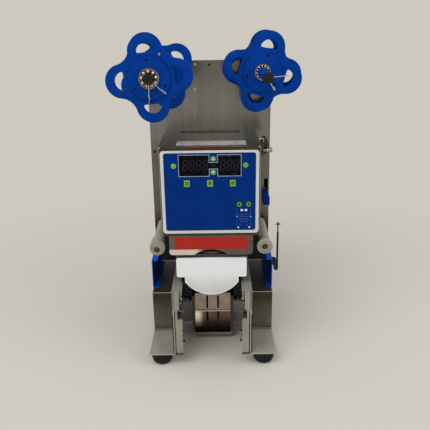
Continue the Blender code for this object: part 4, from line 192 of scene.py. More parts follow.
M = {
    "plate": metal("back_plate_steel", (0.19, 0.186, 0.174), (0.31, 0.305, 0.29), (0.2, 0.32), ALONG_Z,
        cloud=9.0, accents=[
        # Painted shade on the back plate: a little darker towards its top, darker below 450 mm beside the head,
        # and near black below the head.
        ((0.15, 0.145, 0.13), (0.21, 0.205, 0.19), ("Z", 520, 600)),
        ((0.12, 0.12, 0.115), (0.2, 0.2, 0.19), ("Z", 450, 400)),
        ((0.012, 0.012, 0.016), (0.02, 0.02, 0.024), ("Z", 285, 245)),
    ]),
    "cover": metal("cover_steel", (0.3, 0.295, 0.28), (0.44, 0.435, 0.415), (0.22, 0.34), ALONG_Z,
        cloud=9.0),
    "casing": metal("casing_steel", (0.4, 0.39, 0.355), (0.58, 0.57, 0.52), (0.18, 0.3), ALONG_X, accents=[
        # Painted reflections on the casing: darker at the right end of its top, and a dark brown front face.
        ((0.16, 0.165, 0.18), (0.24, 0.245, 0.26), ("X", 66, 74), ("Z", 440, 450)),
        ((0.07, 0.045, 0.036), (0.11, 0.075, 0.06), ("Y", CASING_FACE, CASING_FACE - 0.5)),
    ]),
    "side": metal("side_steel", (0.33, 0.3, 0.24), (0.47, 0.435, 0.365), (0.3, 0.42), ALONG_Y, accents=[
        # Painted reflection: the leg fronts darker above the foot plates.
        ((0.2, 0.185, 0.155), (0.28, 0.26, 0.22), ("Z", *FOOT_FADE), LEG_FRONT),
        # Painted shade: the foot plates darker in the corner next to the leg fronts.
        ((0.18, 0.165, 0.142), (0.24, 0.225, 0.195), ("Y", LEG_FACE - 9, LEG_FACE - 6), LEG_FRONT),
        # Painted reflection: a dark band up the leg fronts from 45 mm.
        ((0.05, 0.043, 0.033), (0.068, 0.06, 0.048), ("Z", 45, 105), LEG_FRONT),
        # Painted shade: the leg tops dark, going near black further back.
        ((0.034, 0.034, 0.032), (0.05, 0.05, 0.047), ("Z", *LEG_FADE)),
        ((0.006, 0.006, 0.008), (0.01, 0.01, 0.012), ("Z", *LEG_FADE),
         ("Y", LEG_FACE + 30, LEG_FACE + 160)),
    ], worn=(("Z", *FOOT_FADE), ("Z", *LEG_FADE[::-1]))),
    "strip": metal("strip_steel", (0.24, 0.23, 0.195), (0.4, 0.38, 0.33), (0.4, 0.55), ALONG_Z,
        metallic=0.35, accents=[
        # Painted shadow: the inner plates and rails near black below about 32 mm.
        ((0.05, 0.05, 0.048), (0.07, 0.07, 0.067), ("Z", 32.5, 31.5)),
    ]),
    # Painted shade: the tray's steel is made dark, as it lies in shade under the head.
    "tray": metal("tray_steel", (0.07, 0.06, 0.05), (0.13, 0.115, 0.1), (0.2, 0.32), ALONG_X),
    "frame": metal("frame_steel", (0.26, 0.25, 0.23), (0.36, 0.34, 0.31), (0.35, 0.5), ALONG_Z,
                           # Painted shade: the vent frame dark above 22 mm, paler only at its foot.
                           accents=[((0.07, 0.066, 0.058), (0.11, 0.105, 0.09), ("Z", 14, 22))]),
    # Painted highlight: the bright edge bars are lines of light along the sheets' edges; screws and rings in
    # this steel are simply bright.
    "edge": metal("bright_steel_and_painted_edge_highlight", (0.4, 0.42, 0.43), (0.62, 0.64, 0.64), (0.3, 0.45), ALONG_Z),
    "edge_dull": metal("dull_edge_steel", (0.2, 0.205, 0.205), (0.3, 0.305, 0.3), (0.3, 0.45), ALONG_Z),
    # Painted highlight: a warm bright line along the casing's top front edge.
    "edge_warm": metal("casing_edge", (0.42, 0.34, 0.3), (0.62, 0.52, 0.46), (0.25, 0.4), ALONG_X),
    "chin": metal("chin_steel", (0.13, 0.112, 0.096), (0.22, 0.19, 0.165), (0.16, 0.28), ALONG_X, accents=[
        # Painted reflection: a bright line along the lower left edge of the chin plate.
        ((0.75, 0.67, 0.56), (1.0, 0.93, 0.8), ("Z", 249.2, 247.5), ("X", -15, -30)),
    ]),
    # The vent cover is steel; its warm brown is a painted reflection.
    "vent_painted_reflections": metal("bronze_steel", (0.25, 0.2, 0.17), (0.44, 0.36, 0.305), (0.1, 0.22), ALONG_X, 0.08,
        60.0, [
        # Painted reflection: the lower bulge darker below the seam.
        ((0.07, 0.048, 0.038), (0.15, 0.11, 0.09), ("Z", SEAM + 1, SEAM - 1)),
        # Painted highlights: a bright stroke at the left of the bulge and a bright line along its top.
        ((0.8, 0.68, 0.56), (1.0, 0.9, 0.76), ("Z", SEAM - 0.5, SEAM - 2), ("X", -21, -31)),
        ((0.4, 0.33, 0.28), (0.6, 0.52, 0.44), ("Z", SEAM - 4, SEAM - 2), ("Z", SEAM, SEAM - 1)),
        # Painted reflection: the bulge going near black towards the bottom.
        ((0.02, 0.014, 0.012), (0.035, 0.025, 0.02), ("Z", SEAM - 16, 28)),
        ((0.012, 0.009, 0.008), (0.02, 0.015, 0.013), ("Z", SEAM - 0.4, SEAM + 0.4),
         ("Z", SEAM + 2.6, SEAM + 1.8)),
    ]),
    "dark": metal("steel_painted_shade_above", (0.42, 0.425, 0.42), (0.6, 0.605, 0.6), (0.2, 0.32), ALONG_X, metallic=0.6,
        accents=[
        # Painted shade: near black above 66 mm, where the lower back panel, the press bracket and the notch
        # blocks lie in shade.
        ((0.018, 0.019, 0.018), (0.03, 0.031, 0.029), ("Z", 52, 66)),
    ]),
    "gap": metal("shadow_steel", (0.02, 0.02, 0.02), (0.04, 0.038, 0.036), (0.45, 0.6), ALONG_X),
    "chrome": metal("chrome", (0.16, 0.14, 0.12), (0.92, 0.9, 0.86), (0.06, 0.14), ALONG_X, 0.01, 150.0),
    "ball": metal("ball_steel", (0.55, 0.5, 0.44), (0.9, 0.86, 0.8), (0.08, 0.18), ALONG_X, 0.01, 150.0),
    # Dark brown steel: partly grease and partly a painted reflection.
    "grease_and_painted_reflection": metal("steel_grease_and_painted_reflection", (0.05, 0.03, 0.02), (0.28, 0.2, 0.15), (0.1, 0.25), ALONG_X, 0.04,
        160.0),
    "machined": metal("machined_steel", (0.38, 0.38, 0.38), (0.52, 0.52, 0.51), (0.22, 0.35), ALONG_Y),
    "wire": metal("wire_steel", (0.45, 0.45, 0.44), (0.75, 0.75, 0.73), (0.15, 0.3), ALONG_Z, 0.02, 120.0),
    "bolt": metal("bolt_steel", (0.05, 0.045, 0.04), (0.26, 0.235, 0.2), (0.25, 0.4), ALONG_Y, 0.1, 250.0),
    "ear": metal("bracket_steel", (0.02, 0.018, 0.014), (0.13, 0.115, 0.095), (0.25, 0.4), ALONG_Z, 0.1,
        200.0),
    "aluminium": metal("aluminium", (0.52, 0.52, 0.53), (0.64, 0.64, 0.65), (0.28, 0.42), ALONG_X),
    "motor": metal("motor_metal", (0.26, 0.26, 0.27), (0.36, 0.36, 0.37), (0.35, 0.5), ALONG_Y),
    "blue": moulded("blue_plastic", (0.0004, 0.036, 0.255), (0.001, 0.048, 0.32), (0.38, 0.5), 0.04),
    "blue_line": moulded("blue_shade", (0.0004, 0.012, 0.09), (0.0006, 0.016, 0.11), (0.45, 0.55), 0.1),
    "blue_paint": moulded("blue_paint", (0.0008, 0.085, 0.55), (0.0015, 0.105, 0.66), (0.35, 0.5), 0.06,
        900.0),
    "sensor": moulded("sensor_blue", (0.0006, 0.02, 0.25), (0.001, 0.028, 0.33), (0.35, 0.5), 0.06, 900.0),
    "panel_white": moulded("panel_white", (0.62, 0.62, 0.57), (0.68, 0.68, 0.63), (0.3, 0.4), 0.2, 900.0,
        0.03),
    "panel_blue": moulded("panel_blue", (0.0004, 0.027, 0.185), (0.0006, 0.031, 0.205), (0.28, 0.36), 0.04,
        1200.0, 0.03),
    "window": moulded("window_black", (0.0035, 0.0035, 0.0065), (0.005, 0.005, 0.009), (0.16, 0.24), 0.03,
        900.0, 0.01),
    "digit": moulded("digit_grey", (0.026, 0.027, 0.032), (0.036, 0.037, 0.043), (0.25, 0.35), 0.1, 900.0,
        0.01),
    "outline": moulded("window_outline", (0.3, 0.36, 0.5), (0.38, 0.44, 0.58), (0.35, 0.45), 0.1, 900.0,
        0.02),
    "print": moulded("panel_print", (0.05, 0.12, 0.33), (0.07, 0.16, 0.4), (0.35, 0.45), 0.1, 900.0, 0.02),
    "key": moulded("key_green", (0.12, 0.29, 0.01), (0.17, 0.36, 0.014), (0.3, 0.42), 0.15, 900.0, 0.03),
    "key_rim": moulded("key_rim", (0.29, 0.5, 0.065), (0.37, 0.6, 0.09), (0.3, 0.42), 0.15, 900.0, 0.03),
    "key_mark": moulded("key_mark", (0.72, 0.78, 0.7), (0.8, 0.84, 0.76), (0.35, 0.45), 0.15, 900.0, 0.02),
    "key_dark": moulded("key_dark", (0.03, 0.08, 0.01), (0.05, 0.12, 0.015), (0.35, 0.45), 0.1, 900.0, 0.02),
    "red": moulded("red_plate", (0.4, 0.018, 0.014), (0.46, 0.024, 0.018), (0.32, 0.42), 0.15, 900.0, 0.03),
    "red_dull": moulded("red_dull", (0.17, 0.035, 0.03), (0.24, 0.045, 0.038), (0.4, 0.55), 0.15, 900.0,
        0.03),
    "strip_white": moulded("strip_white", (0.26, 0.27, 0.26), (0.46, 0.47, 0.44), (0.4, 0.55), 0.2, 900.0,
        0.03, 120.0),
    "white": moulded("shield_white", (0.84, 0.87, 0.86), (0.9, 0.93, 0.92), (0.28, 0.4), 0.2, accents=[
        # Painted shade: the shield greyer below 150 mm.
        ((0.7, 0.7, 0.69), (0.75, 0.75, 0.74), ("Z", 190, 150)),
    ]),
    # Painted highlight: the rim is brighter than the shield along its rounded edge.
    "white_rim": moulded("shield_rim", (0.92, 0.94, 0.94), (0.96, 0.98, 0.98), (0.25, 0.35), 0.3),
    "ivory": moulded("ivory_nylon", (0.27, 0.265, 0.2), (0.35, 0.345, 0.265), (0.38, 0.5), 0.25),
    "black": moulded("black_plastic", (0.011, 0.011, 0.011), (0.018, 0.018, 0.018), (0.35, 0.5), 0.15),
    "black_soft": moulded("black_soft", (0.035, 0.035, 0.037), (0.05, 0.05, 0.052), (0.45, 0.6), 0.2),
    "rubber": moulded("rubber", (0.013, 0.013, 0.014), (0.02, 0.02, 0.021), (0.55, 0.75), 0.12, 300.0, 0.2),
    "board": moulded("circuit_board", (0.01, 0.1, 0.04), (0.015, 0.14, 0.055), (0.35, 0.5)),
}

NODE_LOOKS = {
    "plate": "back_plate",
    "cover": "rear_cover deck_plate",
    "casing": "head_casing",
    "side": "base_side_left base_side_right",
    "strip": "inner_plate_left inner_plate_right tray_rail_left tray_rail_right",
    "frame": "vent_frame",
    "tray": "tray_plate tray_arm_left tray_arm_right",
    "vent_painted_reflections": "vent_cover",
    "dark": "lower_back_panel press_bracket",
    "gap": "cross_rod",
    "ear": "latch_bracket roller_spindle_left roller_spindle_right",
    "machined": "press_cam tray_rack tray_pinion cutter_ring",
    "aluminium": "heater_plate press_beam cup_ring",
    "motor": "press_motor takeup_motor tray_motor supply_bearing",
    "blue_paint": "side_cover_left side_cover_right",
    "panel_white": "control_panel",
    "window": "display_window",
    "black": "film_plate lever_boss power_inlet rocker_switch",
    "board": "control_board",
}

BEVELS = {
    0.2: "latch_bracket control_panel",
    0.3: "back_plate inner_plate_left inner_plate_right vent_cover vent_frame rocker_switch film_plate",
    0.35: "side_cover_left side_cover_right",
    0.4: "head_casing power_inlet",
    0.5: "rear_cover base_side_left base_side_right tray_plate photo_sensor",
}


def soften(piece, width):
    """A small rounded edge that catches the light."""
    bevel = piece.modifiers.new("edge", "BEVEL")
    bevel.width = width * MM
    bevel.segments = 2
    bevel.limit_method = "ANGLE"
    bevel.angle_limit = math.radians(40)
    bevel.harden_normals = False
    return piece


def dress_nodes():
    for look, names in NODE_LOOKS.items():
        for name in names.split():
            node = NODES[name]
            for slot in node.material_slots:
                slot.material = M[look]
            if not node.material_slots:
                node.data.materials.append(M[look])
    for width, names in BEVELS.items():
        for name in names.split():
            NODES[name].modifiers.new("weld", "WELD").merge_threshold = 1e-6
            soften(NODES[name], width)


# Mesh helpers

def add_object(name, data):
    made = bpy.data.objects.new(name, data)
    bpy.context.scene.collection.objects.link(made)
    return made


def make_object(name, mesh, look, body="machine", replaces=()):
    piece = add_object(name, mesh)
    mesh.name = name
    mesh.materials.clear()
    mesh.materials.append(M[look])
    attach(piece, body)
    if replaces:
        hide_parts(*replaces)
    return piece


def take_mesh(cage, name="form"):
    mesh = bpy.data.meshes.new(name)
    cage.to_mesh(mesh)
    cage.free()
    return mesh


def smooth(mesh, angle=35):
    mesh.shade_smooth()
    mesh.set_sharp_from_angle(angle=math.radians(angle))
    return mesh


AXES = {
    "X": Matrix(((0, 0, 1), (0, 1, 0), (-1, 0, 0))),
    "Y": Matrix(((1, 0, 0), (0, 0, 1), (0, -1, 0))),
    "Z": Matrix.Identity(3),
    "-Y": Matrix(((1, 0, 0), (0, 0, -1), (0, 1, 0))),
    "-X": Matrix(((0, 0, -1), (0, 1, 0), (1, 0, 0))),
}


def lathe(profile, axis, centre, steps=64, closed=False):
    """Turn (radius, height) points about an axis through centre."""
    cage = bmesh.new()
    rings = []
    for radius, height in profile:
        spots = circle((0, 0), radius, steps) if radius > 1e-4 else [(0, 0)]
        rings.append([cage.verts.new((x * MM, y * MM, height * MM)) for x, y in spots])
    for upper, lower in zip(rings, rings[1:] + (rings[:1] if closed else [])):
        for i in range(steps):
            order = (upper, i), (upper, i + 1), (lower, i + 1), (lower, i)
            corners = [ring[k % len(ring)] for ring, k in order]
            unique = list(dict.fromkeys(corners))
            if len(unique) > 2:
                cage.faces.new(unique)
    bmesh.ops.recalc_face_normals(cage, faces=cage.faces)
    mesh = take_mesh(cage)
    mesh.transform(Matrix.Translation(Vector(centre) * MM) @ AXES[axis].to_4x4())
    return smooth(mesh)


def rounded(profile, radii, steps=4):
    """Round the inner corners of a profile; radii holds one radius for each inner point."""
    result = [profile[0]]
    for before, corner, after, radius in zip(profile, profile[1:], profile[2:], radii):
        if radius <= 0:
            result.append(corner)
            continue
        a = (Vector(before) - Vector(corner)).normalized() * radius
        b = (Vector(after) - Vector(corner)).normalized() * radius
        for i in range(steps + 1):
            t = i / steps
            point = Vector(corner) + a * (1 - t) ** 2 + b * t**2
            result.append((point.x, point.y))
    result.append(profile[-1])
    return result


def bake_curve(curve):
    holder = add_object("path", curve)
    graph = bpy.context.evaluated_depsgraph_get()
    mesh = bpy.data.meshes.new_from_object(holder.evaluated_get(graph))
    bpy.data.objects.remove(holder, do_unlink=True)
    bpy.data.curves.remove(curve)
    return mesh


UPRIGHT = Matrix.Rotation(math.pi / 2, 4, "X")
PLANES = {
    "XZ": ((0, 1, 0), UPRIGHT),
    "XY": ((0, 0, 1), Matrix.Identity(4)),
    "YZ": ((1, 0, 0), Matrix.Rotation(math.pi / 2, 4, "Z") @ UPRIGHT),
}


def outline_plate(loops, thickness, edge, plane, start):
    """A flat piece with rounded edges; its outline is drawn in world XZ, XY or YZ from depth start."""
    curve = bpy.data.curves.new("outline", "CURVE")
    curve.dimensions = "2D"
    curve.fill_mode = "BOTH"
    curve.bevel_depth = edge * MM
    curve.bevel_resolution = 2 if edge else 0
    curve.offset = -edge * MM
    curve.extrude = (thickness / 2 - edge) * MM
    for loop in loops:
        spline = curve.splines.new("POLY")
        spline.points.add(len(loop) - 1)
        for point, (a, b) in zip(spline.points, loop):
            point.co = (a * MM, b * MM, 0.0, 1.0)
        spline.use_cyclic_u = True
    mesh = bake_curve(curve)
    cage = bmesh.new()
    cage.from_mesh(mesh)
    bmesh.ops.remove_doubles(cage, verts=cage.verts, dist=1e-6)
    bmesh.ops.recalc_face_normals(cage, faces=cage.faces)
    cage.to_mesh(mesh)
    cage.free()
    across, turn = PLANES[plane]
    mesh.transform(Matrix.Translation(Vector(across) * (start + thickness / 2) * MM) @ turn)
    return smooth(mesh)


def merge(meshes):
    cage = bmesh.new()
    for mesh in meshes:
        cage.from_mesh(mesh)
    return smooth(take_mesh(cage))


def polar(radius, angle, centre=(0.0, 0.0)):
    return (centre[0] + radius * math.cos(angle), centre[1] + radius * math.sin(angle))


def arc(centre, radius, start, end, steps):
    return [polar(radius, start + (end - start) * i / steps, centre) for i in range(steps + 1)]


def circle(centre, radius, steps=48):
    return arc(centre, radius, 0.0, 2 * math.pi, steps)[:-1]


def corner_arcs(radius, *centres):
    """Quarter circles one after another, each given as (x, z, number of its quadrant)."""
    points = []
    for x, z, quadrant in centres:
        start = quadrant * math.pi / 2
        points += arc((x, z), radius, start, start + math.pi / 2, 6)
    return points


def rounded_rectangle(x0, z0, x1, z1, radius):
    left, right, bottom, top = x0 + radius, x1 - radius, z0 + radius, z1 - radius
    return corner_arcs(radius, (left, bottom, 2), (right, bottom, 3), (right, top, 0), (left, top, 1))


def box_loop(x0, z0, x1, z1):
    return [(x0, z0), (x1, z0), (x1, z1), (x0, z1)]


def turn_loop(loop, angle, centre=(0.0, 0.0)):
    c, s = math.cos(angle), math.sin(angle)
    return [(c * a - s * b + centre[0], s * a + c * b + centre[1]) for a, b in loop]


def wire(name, points, radius, look, body):
    """A bent wire with round ends through the given points."""
    curve = bpy.data.curves.new(name, "CURVE")
    curve.dimensions = "3D"
    curve.bevel_depth = radius * MM
    curve.bevel_resolution = 3
    curve.use_fill_caps = True
    curve.resolution_u = 6
    spline = curve.splines.new("BEZIER")
    spline.bezier_points.add(len(points) - 1)
    for knot, point in zip(spline.bezier_points, points):
        knot.co = point * MM
        knot.handle_left_type = "AUTO"
        knot.handle_right_type = "AUTO"
    return make_object(name, smooth(bake_curve(curve), 60), look, body)


# Film reels

LOBE_RADIUS = 30.3
LOBE_CENTRE = 48.9
LOBE_FILLET = 30.0
HOLE_RADIUS = 17.0
HOLE_FLAT = 45.5
HOLE_CORNER = 3.0
HUB_RADIUS = 38.7
HUB_STEP = 3.0
PLUG_CIRCLE = 32.0
SHAFT_RADIUS = 6.4
REEL_X = middle("takeup_spindle").x
REEL_Z = middle("takeup_spindle").z
ROLLER_Z = middle("guide_roller_left").z


def flange_outline():
    reach = LOBE_RADIUS + LOBE_FILLET
    half = LOBE_CENTRE / 2
    offset = half + math.sqrt(half**2 - (LOBE_CENTRE**2 - reach**2) / 2)
    touch = math.atan2(offset, offset - LOBE_CENTRE)
    start = math.atan2(-offset, LOBE_CENTRE - offset)
    end = math.atan2(LOBE_CENTRE - offset, -offset)
    if end > start:
        end -= 2 * math.pi
    loop = []
    for quarter in range(4):
        lobe = arc((LOBE_CENTRE, 0.0), LOBE_RADIUS, -touch, touch, 40)
        blend = arc((offset, offset), LOBE_FILLET, start, end, 16)[1:-1]
        loop += turn_loop(lobe + blend, quarter * math.pi / 2)
    return loop


def lobe_hole():
    """The D of one lobe, with rounded corners beside its flat."""
    inset = HOLE_RADIUS - HOLE_CORNER
    lean = math.asin(HOLE_CORNER / inset)
    corner_y = inset * math.cos(lean)
    top = arc((HOLE_FLAT + HOLE_CORNER, corner_y), HOLE_CORNER, math.pi / 2 - lean, math.pi, 6)
    bottom = arc((HOLE_FLAT + HOLE_CORNER, -corner_y), HOLE_CORNER, math.pi, 1.5 * math.pi + lean, 6)
    bow = arc((HOLE_FLAT, 0.0), HOLE_RADIUS, -math.pi / 2 + lean, math.pi / 2 - lean, 24)
    return bow + top + bottom


def reel_flange(node, body, x, turn):
    """A lobed disc with its raised hub, and the dark screws sunk in the hub's holes."""
    hub_face = low(node)[1]
    back = high(node)[1]
    front = hub_face + HUB_STEP
    bore = circle((0.0, 0.0), SHAFT_RADIUS)
    spots = [polar(PLUG_CIRCLE, math.pi / 2 + i * 2 * math.pi / 3) for i in range(3)]
    small = [circle(spot, 2.5, 20) for spot in spots]
    holes = [turn_loop(lobe_hole(), i * math.pi / 2) for i in range(4)]

    def placed(loops):
        return [turn_loop(loop, turn, (x, REEL_Z)) for loop in loops]

    disc = outline_plate(placed([flange_outline(), *holes, *small, bore]), back - front, 1.2, "XZ", front)
    hub_loops = placed([circle((0, 0), HUB_RADIUS, 96), *small, bore])
    hub = outline_plate(hub_loops, HUB_STEP + 1.5, 0.8, "XZ", hub_face)
    piece = make_object(node + "_form", merge([disc, hub]), "blue", body, (node,))
    groove = [circle((x, REEL_Z), HUB_RADIUS + 1.0, 96), circle((x, REEL_Z), HUB_RADIUS - 0.2, 96)]
    line = outline_plate(groove, 0.1, 0.0, "XZ", front - 0.08)
    make_object(node + "_groove", line, "blue_line", body)
    plugs = placed([circle(spot, 2.4, 20) for spot in spots])
    plug = outline_plate(plugs, 4, 0.3, "XZ", hub_face + 1.6)
    make_object(node + "_plugs", plug, "gap", body)


def dress_reels():
    flanges = {
        "supply_front_flange": ("supply_outer_flange", -REEL_X, math.radians(5.4)),
        "supply_rear_flange": ("supply_reel", -REEL_X, math.radians(31.5)),
        "takeup_front_flange": ("takeup_reel", REEL_X, math.radians(-15.0)),
        "takeup_rear_flange": ("takeup_reel", REEL_X, math.radians(-7.0)),
    }
    for node, (body, x, turn) in flanges.items():
        reel_flange(node, body, x, turn)
    for label, x, reach, angle, height, look, body in (
        ("supply", -REEL_X, 46.5, 64, 1.4, "chrome", "supply_outer_flange"),
        ("takeup", REEL_X, 47, 52, 0.5, "blue_line", "takeup_reel"),
    ):
        face = low(f"{label}_front_flange")[1] + HUB_STEP
        spot_x, spot_z = polar(reach, math.radians(angle), (x, REEL_Z))
        screw_head(f"{label}_flange_screw", (spot_x, face, spot_z), 2.4, height, "-Y", look, body)


def screw_head(name, place, radius, height, axis, look, body="machine"):
    """A pan head with a hexagon socket, standing on the face at place."""
    profile = [
        (0, 0.2 * height), (0.36 * radius, 0.2 * height), (0.40 * radius, 0.95 * height),
        (0.62 * radius, height), (0.88 * radius, 0.78 * height), (radius, 0.40 * height), (radius, 0), (0, 0),
    ]
    return make_object(name, lathe(profile, axis, place, 24), look, body)


def turned(name, profile, x, look, body, replaces=(), steps=64, closed=True):
    """A piece turned about the axis of the reel at x."""
    return make_object(name, lathe(profile, "Y", (x, 0, REEL_Z), steps, closed), look, body, replaces)


def spindle(node, body, x):
    """The shaft, and its knurled black end cap."""
    front, back = low(node)[1], high(node)[1]
    cap_end = front + 11
    shaft = [(0, back), (5.5, back), (6, back - 0.5), (6, cap_end - 2), (0, cap_end - 2)]
    piece = turned(node + "_form", shaft, x, "chrome", body, (node,), closed=False)
    ridge, groove, points = 9.9, 9.45, 96
    knurl = [polar(ridge if i % 4 < 2 else groove, 2 * math.pi * i / points, (x, REEL_Z))
             for i in range(points)]
    grip = outline_plate([knurl], cap_end - front - 0.4, 0.4, "XZ", front + 0.4)
    face = [(0, front + 1), (8.6, front + 1), (8.6, front), (6.6, front), (5.8, front + 0.7), (0, front + 0.7)]
    disc = lathe(rounded(face, [0, 0.5, 0.4, 0.3]), "Y", (x, 0, REEL_Z), 48)
    piece = make_object(node + "_cap", merge([grip, disc]), "black", body)


def bearing_ring(name, node, body, x, start, end, radius):
    """A ring seen as an open ball bearing: two bright races with dark brown steel and balls between them; the
    dark brown is partly grease and partly a painted reflection.
    """
    groove_in = 9.4
    groove_out = radius - 1.8
    races = [
        (SHAFT_RADIUS, start + 0.5), (groove_in - 0.6, start + 0.2), (groove_in, start + 1.8),
        (groove_out, start + 1.8), (groove_out + 0.4, start), (radius - 0.6, start + 0.1),
        (radius, start + 1.1), (radius, end), (SHAFT_RADIUS, end),
    ]
    piece = turned(name, races, x, "chrome", body, (node,) if node else ())
    shield = [
        (groove_in - 0.2, start + 1.2), (groove_out + 0.2, start + 0.7),
        (groove_out + 0.2, start + 2), (groove_in - 0.2, start + 2),
    ]
    piece = turned(name + "_shield", shield, x, "grease_and_painted_reflection", body, steps=48)
    track = (groove_in + groove_out) / 2
    ball = (groove_out - groove_in) * 0.42
    pitch = ball * 3.1
    count = round(2 * math.pi * track / pitch)
    bow = [(max(a, 0.0), b) for a, b in arc((0, 0), ball, -math.pi / 2, math.pi / 2, 8)]
    balls = []
    for i in range(count):
        spot_x, spot_z = polar(track, 2 * math.pi * (i + 0.3) / count, (x, REEL_Z))
        balls.append(lathe(bow, "Y", (spot_x, start + 1.6, spot_z), 12))
    piece = make_object(name + "_balls", merge(balls), "ball", body)
    rim = [(radius + 0.05, start + 0.8), (radius + 0.6, start + 1.4), (radius + 0.6, end), (radius + 0.05, end)]
    piece = turned(name + "_rim", rim, x, "grease_and_painted_reflection", body)


def dress_shafts():
    spindle("supply_spindle", "supply_reel", -REEL_X)
    spindle("takeup_spindle", "takeup_reel", REEL_X)
    start, end = low("supply_collar")[1], high("supply_collar")[1]
    bearing_ring("supply_collar_form", "supply_collar", "supply_outer_flange", -REEL_X, start, end, 18.4)
    start, end = low("takeup_sleeve")[1], high("takeup_sleeve")[1]
    ring_start = end - 4
    sleeve = [(SHAFT_RADIUS, ring_start), (10.2, ring_start), (10.2, start), (SHAFT_RADIUS, start)]
    piece = turned("takeup_sleeve_form", rounded(sleeve, [0.0, 0.8]), REEL_X,
                   "blue", "takeup_reel", ("takeup_sleeve",))
    bearing_ring("takeup_bearing_ring", None, "takeup_reel", REEL_X, ring_start, end, 15.9)


def pin_wire(name, body, x, turn, length, depth, thick, doubled, eye=0.0):
    """A split pin through the shaft: one leg ends in a doubled tip, or has an eye bent in it."""
    along = Vector((math.cos(turn), 0, math.sin(turn)))
    across = Vector((-along.z, 0, along.x))
    centre = Vector((x, FRONT + depth, REEL_Z))

    def spot(run, side=0.0):
        return centre + along * run + across * side

    points = [spot(-9), spot(9), spot(length * 0.5)]
    if eye:
        points += [spot(length * 0.60), spot(length * 0.66, eye)]
        points += [spot(length * 0.72, 0.2), spot(length * 0.85)]
    points.append(spot(length))
    if doubled:
        points += [spot(length + 0.6, 0.9), spot(length - 0.5, 1.7), spot(length - doubled, 1.5)]
    wire(name, points, thick, "wire", body)


def dress_pins():
    for name, body, x, angle, *size in (
        ("supply_pin_down", "supply_reel", -REEL_X, -91.5, 52, 29.8, 0.7, 0.0, 1.3),
        ("supply_pin_leg", "supply_reel", -REEL_X, -91.5, 31, 31.0, 1.15, 0.0),
        ("supply_pin_side", "supply_reel", -REEL_X, -42, 39, 30.4, 0.65, 9.0),
        ("takeup_pin_side", "takeup_reel", REEL_X, 4, 37, 30.2, 0.75, 0.0),
        ("takeup_pin_down", "takeup_reel", REEL_X, -62, 25, 30.8, 0.6, 6.0),
    ):
        pin_wire(name, body, x, math.radians(angle), *size)


# Guide rollers

def dress_rollers():
    for label, side in SIDES:
        node = f"guide_roller_{label}"
        front, back = low(node)[1], high(node)[1]
        x = side * 106
        bore = 4.4
        recess = 6.0
        if side < 0:
            steps = [(12, 0, 7), (15, 7, 41), (12, 41, None)]
            collar = 9.4
        else:
            steps = [(15.5, 0, 6), (12, 6, None)]
            collar = 10.2
        profile = [(bore, back)]
        for radius, start, end in reversed(steps):
            stop = back if end is None else front + end
            begin = front + start
            profile += [(radius - 0.6, stop), (radius, stop - 0.6)]
            profile += [(radius, begin + 1.2), (radius - 1.2, begin)]
        profile += [
            (collar + 0.5, front), (collar + 0.3, front + 0.9), (collar - 0.4, front + 0.9),
            (collar - 0.8, front), (recess + 0.6, front), (recess, front + 0.6),
            (recess, front + 4.6), (bore, front + 4.6),
        ]
        mesh = lathe(profile, "Y", (x, 0, ROLLER_Z), 64, True)
        piece = make_object(node + "_form", mesh, "ivory", f"roller_{label}", (node,))
        head_front = low(f"roller_spindle_{label}")[1]
        head = [(0, 1.6), (2.2, 1.6), (2.7, 0.2), (4.2, 0), (5.4, 1.0), (5.4, 2.4), (0, 2.4)]
        mesh = lathe(head, "Y", (x, head_front - 0.3, ROLLER_Z), 32)
        piece = make_object(f"roller_screw_{label}", mesh, "ear")


# Control panel

def flat(name, loops, thickness, front, look, edge=0.0, body="machine"):
    mesh = outline_plate(loops, thickness, edge, "XZ", front - thickness)
    return make_object(name, mesh, look, body)


def lay_flat(name, loops, thickness, height, look, edge=0.0):
    return make_object(name, outline_plate(loops, thickness, edge, "XY", height), look)


def grow(loop, amount):
    """Move the sides of a closed, counter-clockwise outline outward."""
    result = []
    for i, corner in enumerate(loop):
        before, after = loop[i - 1], loop[(i + 1) % len(loop)]
        a = (Vector(corner) - Vector(before)).normalized()
        b = (Vector(after) - Vector(corner)).normalized()
        normal = Vector((a.y + b.y, -a.x - b.x)) / (1 + a.dot(b))
        result.append((corner[0] + normal.x * amount, corner[1] + normal.y * amount))
    return result


WINDOW = [
    (-58, 399), (-1.2, 399), (-1.2, 413), (14.8, 413), (14.8, 399), (58.5, 399),
    (58.5, 439.5), (14.8, 439.5), (14.8, 425), (-1.2, 425), (-1.2, 439.5), (-58, 439.5),
]


